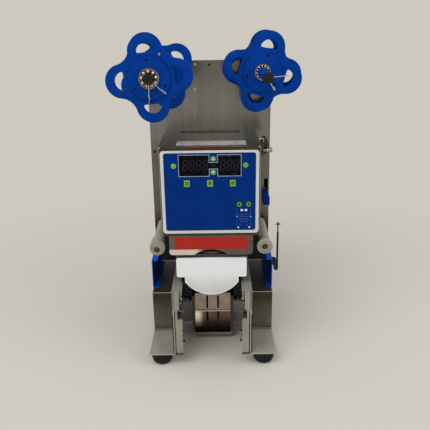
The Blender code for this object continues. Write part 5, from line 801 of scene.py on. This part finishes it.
def dress_panel():
    face = low("control_panel")[1]
    window_face = low("display_window")[1]
    field = rounded_rectangle(-86.3, 290, 86.3, 443.3, 4.5)
    flat("panel_field", [field], 0.2, face, "panel_blue")
    flat("window_line", [grow(WINDOW, 0.75), grow(WINDOW, -0.35)], 0.3, window_face, "outline")
    digits("left", 4, -51.0, 12.6, window_face)
    digits("right", 3, 19.2, 12.6, window_face)
    dots = [circle((x, z), 0.9, 12) for x, z in (
        (-47, 435.5), (-34.5, 435.8), (-22, 436), (-9.5, 436), (24, 436), (-47, 403), (-10, 404.5))]
    bars = [box_loop(33, 435.4, 40, 436.6), box_loop(43, 403, 50, 404.2), box_loop(3, 418, 11, 420)]
    flat("window_marks", dots + bars, 0.15, window_face, "digit")
    for label, x, z in (("left", -67.5, 418.8), ("right", 67.0, 419.3)):
        round_key(f"key_round_{label}", x, z, 4.7, face)
        ring = [circle((x, z), 2.1, 24), circle((x, z), 1.3, 24)]
        flat(f"key_round_mark_{label}", ring, 0.15, face - 0.65, "key_rim")
    for label, x, z, up in (("up", 6.6, 432.0, 1), ("down", 6.3, 406.3, -1)):
        round_key(f"key_{label}", x, z, 4.8, face)
        arrow = [(x + a, z + up * b) for a, b in ((-2.7, -1.9), (2.7, -1.9), (0, 2.3))]
        flat(f"arrow_{label}", [arrow], 0.15, face - 0.65, "key_mark")
    for index, x in enumerate((-43.6, 0.1, 43.0)):
        square_key(f"key_square_{index}", x, 384.8, index, face)
    for index, x in enumerate((55.2, 72.9)):
        ring = [circle((x, 342.5), 4.8), circle((x, 342.5), 1.9, 32)]
        flat(f"lamp_ring_{index}", ring, 0.6, face, "key", 0.2)
        flat(f"lamp_eye_{index}", [circle((x, 342.5), 2.0, 32)], 0.4, face, "window")
    dress_diagram(face - 0.2)


def round_key(name, x, z, radius, face):
    rim = [circle((x, z), radius), circle((x, z), radius - 1.0)]
    flat(name + "_rim", rim, 0.75, face, "key_rim", 0.2)
    flat(name, [circle((x, z), radius - 0.9)], 0.6, face, "key", 0.1)


def square_key(name, x, z, kind, face):
    """A raised key with a pale rim and a plain sign: a square, a bar or a stroke in a ring."""
    outer = rounded_rectangle(x - 5.3, z - 6.1, x + 5.3, z + 6.1, 0.9)
    inner = rounded_rectangle(x - 4.1, z - 4.9, x + 4.1, z + 4.9, 0.6)
    flat(name + "_rim", [outer, inner], 0.75, face, "key_rim", 0.2)
    flat(name, [inner], 0.6, face, "key")
    if kind == 0:
        sign = [box_loop(x - 2.6, z - 2.9, x + 2.6, z + 2.9), box_loop(x - 1.7, z - 2.0, x + 1.7, z + 2.0)]
    elif kind == 1:
        sign = [box_loop(x - 2.4, z + h, x + 2.4, z + h + 0.9) for h in (-2.8, -1.1, 0.6, 2.3)]
    else:
        bow = arc((x, z), 2.7, math.radians(125), math.radians(415), 28)
        back = arc((x, z), 1.9, math.radians(415), math.radians(125), 28)
        sign = [bow + back, box_loop(x - 0.4, z, x + 0.4, z + 3.6)]
    flat(name + "_sign", sign, 0.15, face - 0.6, "key_dark")


def dress_diagram(face):
    """A plain threading sketch: two reels' paths as broken lines down to the tray."""
    lines = []
    for x in (50.7, 76.8):
        z = 335.0
        while z > 298:
            lines.append(box_loop(x - 0.45, z - 2.6, x + 0.45, z))
            z -= 4.4
    for z, half in ((321.8, 9.0), (317.9, 9.6), (313.6, 9.6)):
        lines.append(box_loop(63.9 - half, z - 0.4, 63.9 + half, z + 0.4))
    for x, low_z, high_z in ((56.9, 305, 312.6), (70.2, 305, 312.6),
                             (60.9, 306.5, 311.5), (66.8, 306.5, 311.5)):
        lines.append(box_loop(x - 0.4, low_z, x + 0.4, high_z))
    lines.append(box_loop(60.9, 305.6, 66.8, 306.4))
    for x in (56.9, 70.2):
        lines.append(box_loop(x - 0.4, 298.5, x + 0.4, 303.5))
    lines.append(box_loop(62.8, 330.4, 65.2, 331.2))
    blocks = [box_loop(57.6, 328.8, 62.4, 332.8), box_loop(65.6, 328.8, 70.4, 332.8)]
    blocks += [circle((53.4, 295.6), 1.6, 20), circle((74.4, 295.8), 1.6, 20)]
    blocks += [circle((50.7, 317.5), 1.0, 16), circle((76.8, 317.8), 1.0, 16)]
    flat("sketch_lines", lines, 0.1, face, "print")
    flat("sketch_blocks", blocks, 0.12, face, "key_mark")


SEGMENTS = {
    "a": ((0.1, 2.0), (0.9, 2.0)),
    "b": ((1.0, 1.1), (1.0, 1.9)),
    "c": ((1.0, 0.1), (1.0, 0.9)),
    "d": ((0.1, 0.0), (0.9, 0.0)),
    "e": ((0.0, 0.1), (0.0, 0.9)),
    "f": ((0.0, 1.1), (0.0, 1.9)),
    "g": ((0.1, 1.0), (0.9, 1.0)),
}


def digits(label, count, start, pitch, face):
    """Unlit seven-segment digits, leaning to the right."""
    width, height, stroke, slant = 7.6, 9.5, 0.75, 0.14
    base = 410.5
    loops = []
    for index in range(count):
        x = start + index * pitch
        for (ax, az), (bx, bz) in SEGMENTS.values():
            a = Vector((ax * width, az * height))
            b = Vector((bx * width, bz * height))
            along = (b - a).normalized() * stroke
            across = Vector((-along.y, along.x))
            corners = [a, a + along + across, b - along + across,
                       b, b - along - across, a + along - across]
            loops.append([(x + p.x + slant * p.y, base + p.y) for p in corners])
    flat(f"digits_{label}", loops, 0.15, face, "digit")


# Head: the bare places of labels, the hinge slots and the latch

def dress_chin():
    """The plate under the head, with an arch in its lower edge that the film runs behind."""
    face, back = low("chin_plate")[1], high("chin_plate")[1]
    half, top = high("chin_plate")[0], high("chin_plate")[2]
    bottom = low("chin_plate")[2] - 2.2
    corner, chord, rise = 6.5, 33.5, 11.5
    radius = (chord**2 + rise**2) / (2 * rise)
    sweep = math.asin(chord / radius)
    loop = arc((-half + corner, bottom + corner), corner, math.pi, 1.5 * math.pi, 8)
    loop += arc((0, bottom + rise - radius), radius, math.pi / 2 + sweep, math.pi / 2 - sweep, 40)
    loop += arc((half - corner, bottom + corner), corner, 1.5 * math.pi, 2 * math.pi, 8)
    loop += [(half, top), (-half, top)]
    mesh = outline_plate([loop], back - face, 0.5, "XZ", face)
    piece = make_object("chin_plate_form", mesh, "chin", "machine", ("chin_plate",))


def dress_head():
    dress_chin()
    strip = rounded_rectangle(-71, 249, 73, 274.5, 0.6)
    flat("chin_strip", [strip], 0.4, low("chin_plate")[1], "red")
    top = high("head_casing")[2]
    front, back = low("head_casing")[1], high("head_casing")[1]
    strip = rounded_rectangle(-63, front + 16, 69, front + 54, 0.8)
    lay_flat("top_strip", [strip], 0.25, top, "strip_white")
    strip = rounded_rectangle(-30, front + 2, 34, front + 9.5, 0.5)
    lay_flat("top_strip_red", [strip], 0.2, top, "red_dull")
    # A painted highlight along the casing's top front edge.
    strip_box("casing_edge_top", (-95.2, 29.1, 452.2), (95.2, 30.4, 454.1), "edge_warm")
    for label, side in SIDES:
        x0, x1 = sorted((side * 94.2, side * 95.5))
        strip_box(f"casing_edge_{label}", (x0, 28.9, 279), (x1, 30.2, 452), "edge_dull")
    slots = [box_loop(x0, back - 6.2, x1, back - 3.2) for x0, x1 in ((-63, -24), (12, 62))]
    lay_flat("top_slots", slots, 0.12, top, "gap")
    for index, x in enumerate((-15.0, 3.9)):
        ring_at(f"hinge_ring_{index}", (x, back - 4, top + 1.5), 2.6, 0.8, "Z", "bolt")
    lay_flat("hinge_leaf", [box_loop(-24, back - 7, 12, back - 1.5)], 1.0, top, "bolt", 0.3)


def ring_at(name, place, radius, thickness, axis, look, body="machine"):
    profile = circle((radius, 0.0), thickness, 12)
    return make_object(name, lathe(profile, axis, place, 32, True), look, body)


def dress_latch():
    """The ear that the pull pin runs in, the pin's ring and the eyelet beside them."""
    back = high("latch_bracket")[1]
    ear = [(97.5, 431), (110, 431), (113.2, 436), (113.2, 450), (106.4, 465.5), (99.4, 465.5), (97.5, 462)]
    piece = make_object("latch_ear", outline_plate([ear], 1.5, 0.4, "XZ", back - 3), "ear")
    ring_at("latch_eyelet", (99.3, FRONT + 66, 457.5), 3.5, 1.1, "-Y", "edge")
    centre = middle("latch_pin")
    tip = high("latch_pin")[0]
    root = low("latch_pin")[0] - tip
    knob = rounded(
        [(0, 0), (4.2, 0), (4.9, -1.0), (4.9, -3.2), (2.6, -4.0), (2.2, -8),
         (4.4, -9), (4.4, -11), (2.8, -12), (2.8, root), (0, root)],
        [0.8, 0, 0.8, 0.3, 0, 0.3, 0.5, 0.4, 0.3],
    )
    mesh = lathe(knob, "X", (tip, centre.y, centre.z), 32)
    piece = make_object("latch_pin_form", mesh, "chrome", "latch", ("latch_pin",))


# Base

def strip_box(name, low_corner, high_corner, look, edge=0.3, body="machine"):
    """A thin bar between two corners, given as x, depth behind the base's front, and z."""
    cage = bmesh.new()
    bmesh.ops.create_cube(cage, size=1.0)
    for vert in cage.verts:
        spot = [a + (b - a) * (share + 0.5) for a, b, share in zip(low_corner, high_corner, vert.co)]
        vert.co = (Vector(spot) + Vector((0, FRONT, 0))) * MM
    return soften(make_object(name, take_mesh(cage), look, body), edge)


INNER_TOP = high("inner_plate_left")[2]
BASE_BARS = (
    # name, two distances from the middle, two depths, two heights, look, rounding, body
    # The edge_wall, edge_foot and edge_leg bars carry painted highlights along the sheets' edges.
    ("edge_wall", 76.4, 78.2, -0.3, 1.2, 26.4, 131, "edge"),
    ("edge_rail", 75.6, 79.6, -0.2, 1.2, 131.2, INNER_TOP, "edge_dull"),
    ("seam_outer", 78.4, 80.3, -0.1, 1.2, 28.6, 119.6, "gap", 0.1),
    ("seam_inner", 74.2, 76.2, -0.1, 1.2, 27.2, 128, "gap", 0.1),
    ("rail_lip", 59.6, 63.2, 1.2, 4, 151.5, 158.2, "strip"),
    ("tray_runner", 60.2, 63.0, 1.5, 54, 161, INNER_TOP - 0.5, "strip", 0.3, "tray"),
    ("rail_seam", 63.5, 64.9, -0.1, 1.0, 140, INNER_TOP, "gap", 0.1),
    ("edge_foot", 78.3, 129.9, -0.3, 0.8, 26.6, 28.7, "edge"),
    ("edge_leg", 79.9, 129.9, 97.2, 98.2, LEG_TOP - 1.3, LEG_TOP + 0.2, "edge"),
    ("edge_side", 129.3, 130.1, 0.4, 97.5, 27.1, 29.0, "edge_dull"),
    ("notch_block", 62.5, 74, 3.2, 11, 111.5, 120.5, "dark", 0.6),
)
EDGE_PINS = (
    # distance from the middle, height, radius, reach, look
    (66, 149.5, 2.2, 5.6, "gap"),
    (66, 144.5, 2.0, 4.4, "machined"),
    (62, 82, 2.0, 5.6, "gap"),
    (62, 70, 1.3, 4.0, "bolt"),
    (62, 59, 2.2, 6.0, "gap"),
)


def dress_base():
    """Strips along the edges of the folded sheets, the bright ones painted highlights, and the bolts and pins
    beside them.
    """
    rod = middle("cross_rod")
    for label, side in SIDES:
        inward = "X" if side < 0 else "-X"
        for name, x0, x1, y0, y1, z0, z1, *how in BASE_BARS:
            x0, x1 = sorted((side * x0, side * x1))
            strip_box(f"{name}_{label}", (x0, y0, z0), (x1, y1, z1), *how)
        nut = Vector((side * 90.4, FRONT + 20.5, 28.5))
        ring_at(f"foot_nut_{label}", nut + Vector((0, 0, 0.8)), 2.6, 0.9, "Z", "edge")
        screw_head(f"foot_screw_{label}", nut, 1.9, 1.0, "Z", "bolt")
        stud = rounded(
            [(0, 0), (2.4, 0), (2.4, 14), (3.6, 14.4), (3.6, 16.6), (2.6, 17.6), (0, 17.8)],
            [0, 0, 0.2, 0.4, 0.4],
        )
        mesh = lathe(stud, inward, (side * 74, FRONT + 6, 125.2), 24)
        make_object(f"notch_stud_{label}", mesh, "bolt")
        for index, (x, z, radius, reach, look) in enumerate(EDGE_PINS):
            pin = [(0, 0), (radius, 0), (radius, reach - 0.5), (radius * 0.7, reach), (0, reach)]
            mesh = lathe(pin, inward, (side * x, FRONT + 3.0, z), 16)
            make_object(f"edge_pin_{label}_{index}", mesh, look)
        nut_profile = [(0, 0), (6.6, 0), (6.6, 4.6), (4.6, 5.4), (4.2, 9), (0, 9)]
        mesh = lathe(nut_profile, inward, (side * 76.6, rod.y, rod.z), 6)
        make_object(f"rod_nut_{label}", mesh, "bolt")
        for index, x in enumerate((64.0, 56.5)):
            ring_at(f"rod_ring_{label}_{index}", (side * x, rod.y, rod.z), 4.6, 1.1, "X", "machined")
    face = low("back_plate")[1]
    for index, (x, z) in enumerate(((-28.7, 590.8), (-30.1, 541.0))):
        screw_head(f"plate_screw_{index}", (x, face, z), 2.6, 1.0, "-Y", "edge")
    sinks = [circle((x, z), 2.7, 24) for x, z in ((0, 590), (-118.6, 413))]
    flat("hole_sinks", sinks, 0.1, face, "gap")
    screw_head("sensor_screw", (118.5, face, 290), 2.2, 0.8, "-Y", "edge")


def dress_shield():
    """The white shield with its rounded rim, painted brighter as a highlight, and the dimples of its screws."""
    box_low, box_high = low("tray_shield"), high("tray_shield")
    face, back = box_low[1], box_high[1]
    half, top = box_high[0], box_high[2]
    step = top - 42
    lower_half = 54.3
    side_low = step - 11
    bottom = box_low[2] + 2.8
    corner = 4
    sag = side_low - bottom
    bow = (lower_half**2 + sag**2) / (2 * sag)
    sweep = math.asin(lower_half / bow)
    loop = arc((0, bottom + bow), bow, -math.pi / 2 - sweep, -math.pi / 2 + sweep, 48)
    loop.append((lower_half, step))
    side, low_z, high_z = half - corner, step + corner, top - corner
    loop += corner_arcs(corner, (side, low_z, 3), (side, high_z, 0), (-side, high_z, 1), (-side, low_z, 2))
    loop.append((-lower_half, step))
    sheet = outline_plate([loop], back - face, 0.9, "XZ", face)
    piece = make_object("tray_shield_form", sheet, "white", "tray", ("tray_shield",))
    rim = [grow(loop, -0.1), grow(loop, -1.7)]
    make_object("tray_shield_rim", outline_plate(rim, 0.8, 0.3, "XZ", face - 0.3), "white_rim", "tray")
    for index, x in enumerate((-62, 62)):
        profile = [(0, 0.15), (1.2, 0.15), (2.2, 0), (2.4, 0), (2.4, -0.1), (0, -0.1)]
        mesh = lathe(profile, "Y", (x, face, top - 7), 24)
        make_object(f"shield_screw_{index}", mesh, "white", "tray")


def dress_sensor():
    """The film sensor: a narrow upper block, a wider lower one with its dark eye, and a clamp screw."""
    face, back = low("photo_sensor")[1], high("photo_sensor")[1]
    body_back = low("back_plate")[1] - 0.3
    upper = rounded_rectangle(111.8, 302, 122.6, 325.5, 1.2)
    lower = rounded_rectangle(112.0, 297.4, 125.9, 316.5, 1.6)
    block = outline_plate([upper], body_back - face - 4, 0.8, "XZ", face + 4)
    box = outline_plate([lower], body_back - face, 1.0, "XZ", face)
    stud = [(0, back), (2.5, back), (2.5, body_back - 1), (0, body_back - 1)]
    stud = lathe(stud, "Y", (119, 0, 318), 24)
    mesh = merge([block, box, stud])
    piece = make_object("photo_sensor_form", mesh, "sensor", "sensor", ("photo_sensor",))
    eye = rounded_rectangle(113.4, 299, 116.8, 313, 0.8)
    flat("sensor_eye", [eye], 0.3, face, "gap", 0.0, "sensor")
    screw_head("sensor_clamp", (116.6, body_back + 0.1, 329.5), 2.4, 1.6, "-Y", "grease_and_painted_reflection", "sensor")


def dress_lever():
    """A thin rod with a small cross bar, in a flat foot with a rounded heel."""
    centre = middle("lever_boss")
    start, end = low("side_lever")[0], high("side_lever")[0]
    rod_x = (start + end) / 2
    heel = centre.z - 20
    block = rounded_rectangle(centre.y - 7, heel + 1.5, centre.y + 7, centre.z + 6, 2.5)
    foot = outline_plate([block], 5.0, 0.6, "YZ", start)
    piece = make_object("side_lever_foot", foot, "black_soft", "lever", ("side_lever",))
    rod_y = centre.y - 3
    bar_at = (rod_x + 2, rod_y, heel + 107)
    rod = [(0, 0), (2.1, 0), (2.1, 88), (1.3, 90), (1.3, 112), (0, 113)]
    stem = lathe(rounded(rod, [0.6, 0.5, 0.5, 0.8]), "Z", (rod_x + 2, rod_y, heel), 24)
    knob = lathe(circle((0.9, 0.0), 1.9, 16)[:9], "Z", bar_at, 24)
    bar = [(0, -5.2), (1.3, -5.2), (1.3, 5.2), (0, 5.2)]
    bar = lathe(rounded(bar, [0.5, 0.5]), "X", bar_at, 20)
    make_object("side_lever_form", merge([stem, knob, bar]), "black", "lever", ("side_lever",))
    bend = ((rod_x + 2, 14), (rod_x + 2, 5), (rod_x, 1.5), (start + 2, 1))
    wire("lever_heel", [Vector((x, rod_y, heel + rise)) for x, rise in bend], 2.3, "black", "lever")


def dress_rear():
    """Screws that hold the rear cover, and the blades in the mains inlet."""
    (side, back, top), bottom = high("rear_cover"), low("rear_cover")[2]
    inset = 14
    places = [(x, z) for x in (-side + inset, side - inset) for z in (bottom + inset, top - inset)]
    for index, (x, z) in enumerate(places):
        screw_head(f"cover_screw_{index}", (x, back, z), 3.2, 1.6, "Y", "machined")
    socket = middle("power_inlet")
    for index, (x, z) in enumerate(((-7, -13), (7, -13), (0, -7))):
        x, z = socket.x + x, socket.z + z
        blade = rounded_rectangle(x - 1, z - 2, x + 1, z + 2, 0.4)
        mesh = outline_plate([blade], 14, 0.3, "XZ", high("power_inlet")[1] - 18)
        make_object(f"inlet_blade_{index}", mesh, "machined")


# Feet

def dress_feet():
    for place in ("front_left", "front_right", "rear_left", "rear_right"):
        node = f"foot_{place}"
        centre = middle(node)
        top = high(node)[2]
        radius = (high(node)[0] - low(node)[0]) / 2
        profile = rounded(
            [(0, top), (radius, top), (radius, 12), (radius - 2.5, 3.5), (13, 0), (0, 0)],
            [0.6, 4, 4, 2], 6,
        )
        mesh = lathe(profile, "Z", (centre.x, centre.y, 0))
        piece = make_object(node + "_form", mesh, "rubber", "machine", (node,))


# Studio

BACKGROUND = (0.615, 0.585, 0.52, 1.0)


def seen_share(tree):
    """1 for what the camera sees, also by way of metal and glass."""
    rays = add_node(tree, "ShaderNodeLightPath").outputs
    total = rays["Is Camera Ray"]
    for kind in ("Is Glossy Ray", "Is Transmission Ray"):
        total = combine(tree, "MAXIMUM", total, rays[kind])
    return total


def mix_shaders(tree, share, first, second, output):
    mix = add_node(tree, "ShaderNodeMixShader", {"Fac": share, 1: first, 2: second})
    tree.links.new(mix.outputs["Shader"], output.inputs["Surface"])


def far_away(tree, shader):
    """The floor takes the background's colour towards the horizon."""
    length = add_node(tree, "ShaderNodeVectorMath", {0: object_place(tree)}, operation="LENGTH")
    distance = remap(tree, length.outputs["Value"], 0.0, 1.0, 0.25, 1.1)
    share = combine(tree, "MULTIPLY", distance, seen_share(tree))
    glow = add_node(tree, "ShaderNodeEmission", {"Color": BACKGROUND}).outputs["Emission"]
    mix_shaders(tree, share, shader.outputs["BSDF"], glow, tree.nodes["Material Output"])


def add_light(name, place, target, size, power):
    data = bpy.data.lights.new(name, "AREA")
    data.shape = "SQUARE"
    data.size = size
    data.energy = power
    lamp = add_object(name, data)
    lamp.location = place
    lamp.rotation_euler = (Vector(target) - Vector(place)).to_track_quat("-Z", "Y").to_euler()


def build_studio():
    """A pale floor, even light from all around and two soft lamps, in metres."""
    cage = bmesh.new()
    bmesh.ops.create_grid(cage, x_segments=1, y_segments=1, size=6.0)
    floor = add_object("floor", take_mesh(cage, "floor"))
    made, tree, shader = new_material("floor_pale")
    shader.inputs["Base Color"].default_value = (0.71, 0.68, 0.60, 1.0)
    shader.inputs["Roughness"].default_value = 0.9
    shader.inputs["Specular IOR Level"].default_value = 0.2
    far_away(tree, shader)
    floor.data.materials.append(made)

    world = bpy.data.worlds.new("studio")
    bpy.context.scene.world = world
    world.use_nodes = True
    tree = world.node_tree
    tree.nodes.clear()
    output = add_node(tree, "ShaderNodeOutputWorld")
    soft = add_node(tree, "ShaderNodeBackground", {"Color": (0.95, 0.97, 1.0, 1.0), "Strength": 0.55})
    pale = add_node(tree, "ShaderNodeBackground", {"Color": BACKGROUND})
    mix_shaders(tree, seen_share(tree), soft.outputs["Background"], pale.outputs["Background"], output)

    target = (0, 0, 0.3)
    add_light("key_light", (-1.0, -1.3, 2.2), target, 1.6, 26.0)
    add_light("fill_light", (1.6, -0.8, 1.4), target, 1.4, 10.0)


def build_camera():
    """The camera as fitted to the photo, in metres and radians."""
    data = bpy.data.cameras.new("camera")
    data.sensor_width = 36.0
    data.lens = 45.14
    camera = add_object("camera", data)
    pitch, yaw, roll = 0.341, 0.006, -0.015
    turn = Matrix.Rotation(yaw, 4, "Z") @ Matrix.Rotation(math.pi / 2 - pitch, 4, "X")
    turn = turn @ Matrix.Rotation(roll, 4, "Z")
    camera.matrix_world = Matrix.Translation((0.0144, -1.1239, 0.6679)) @ turn
    bpy.context.scene.camera = camera


build_camera()
build_studio()
dress_nodes()
dress_reels()
dress_shafts()
dress_rollers()
dress_pins()
dress_panel()
dress_head()
dress_latch()
dress_base()
dress_shield()
dress_sensor()
dress_lever()
dress_rear()
dress_feet()
bpy.context.scene.view_settings.view_transform = "Standard"
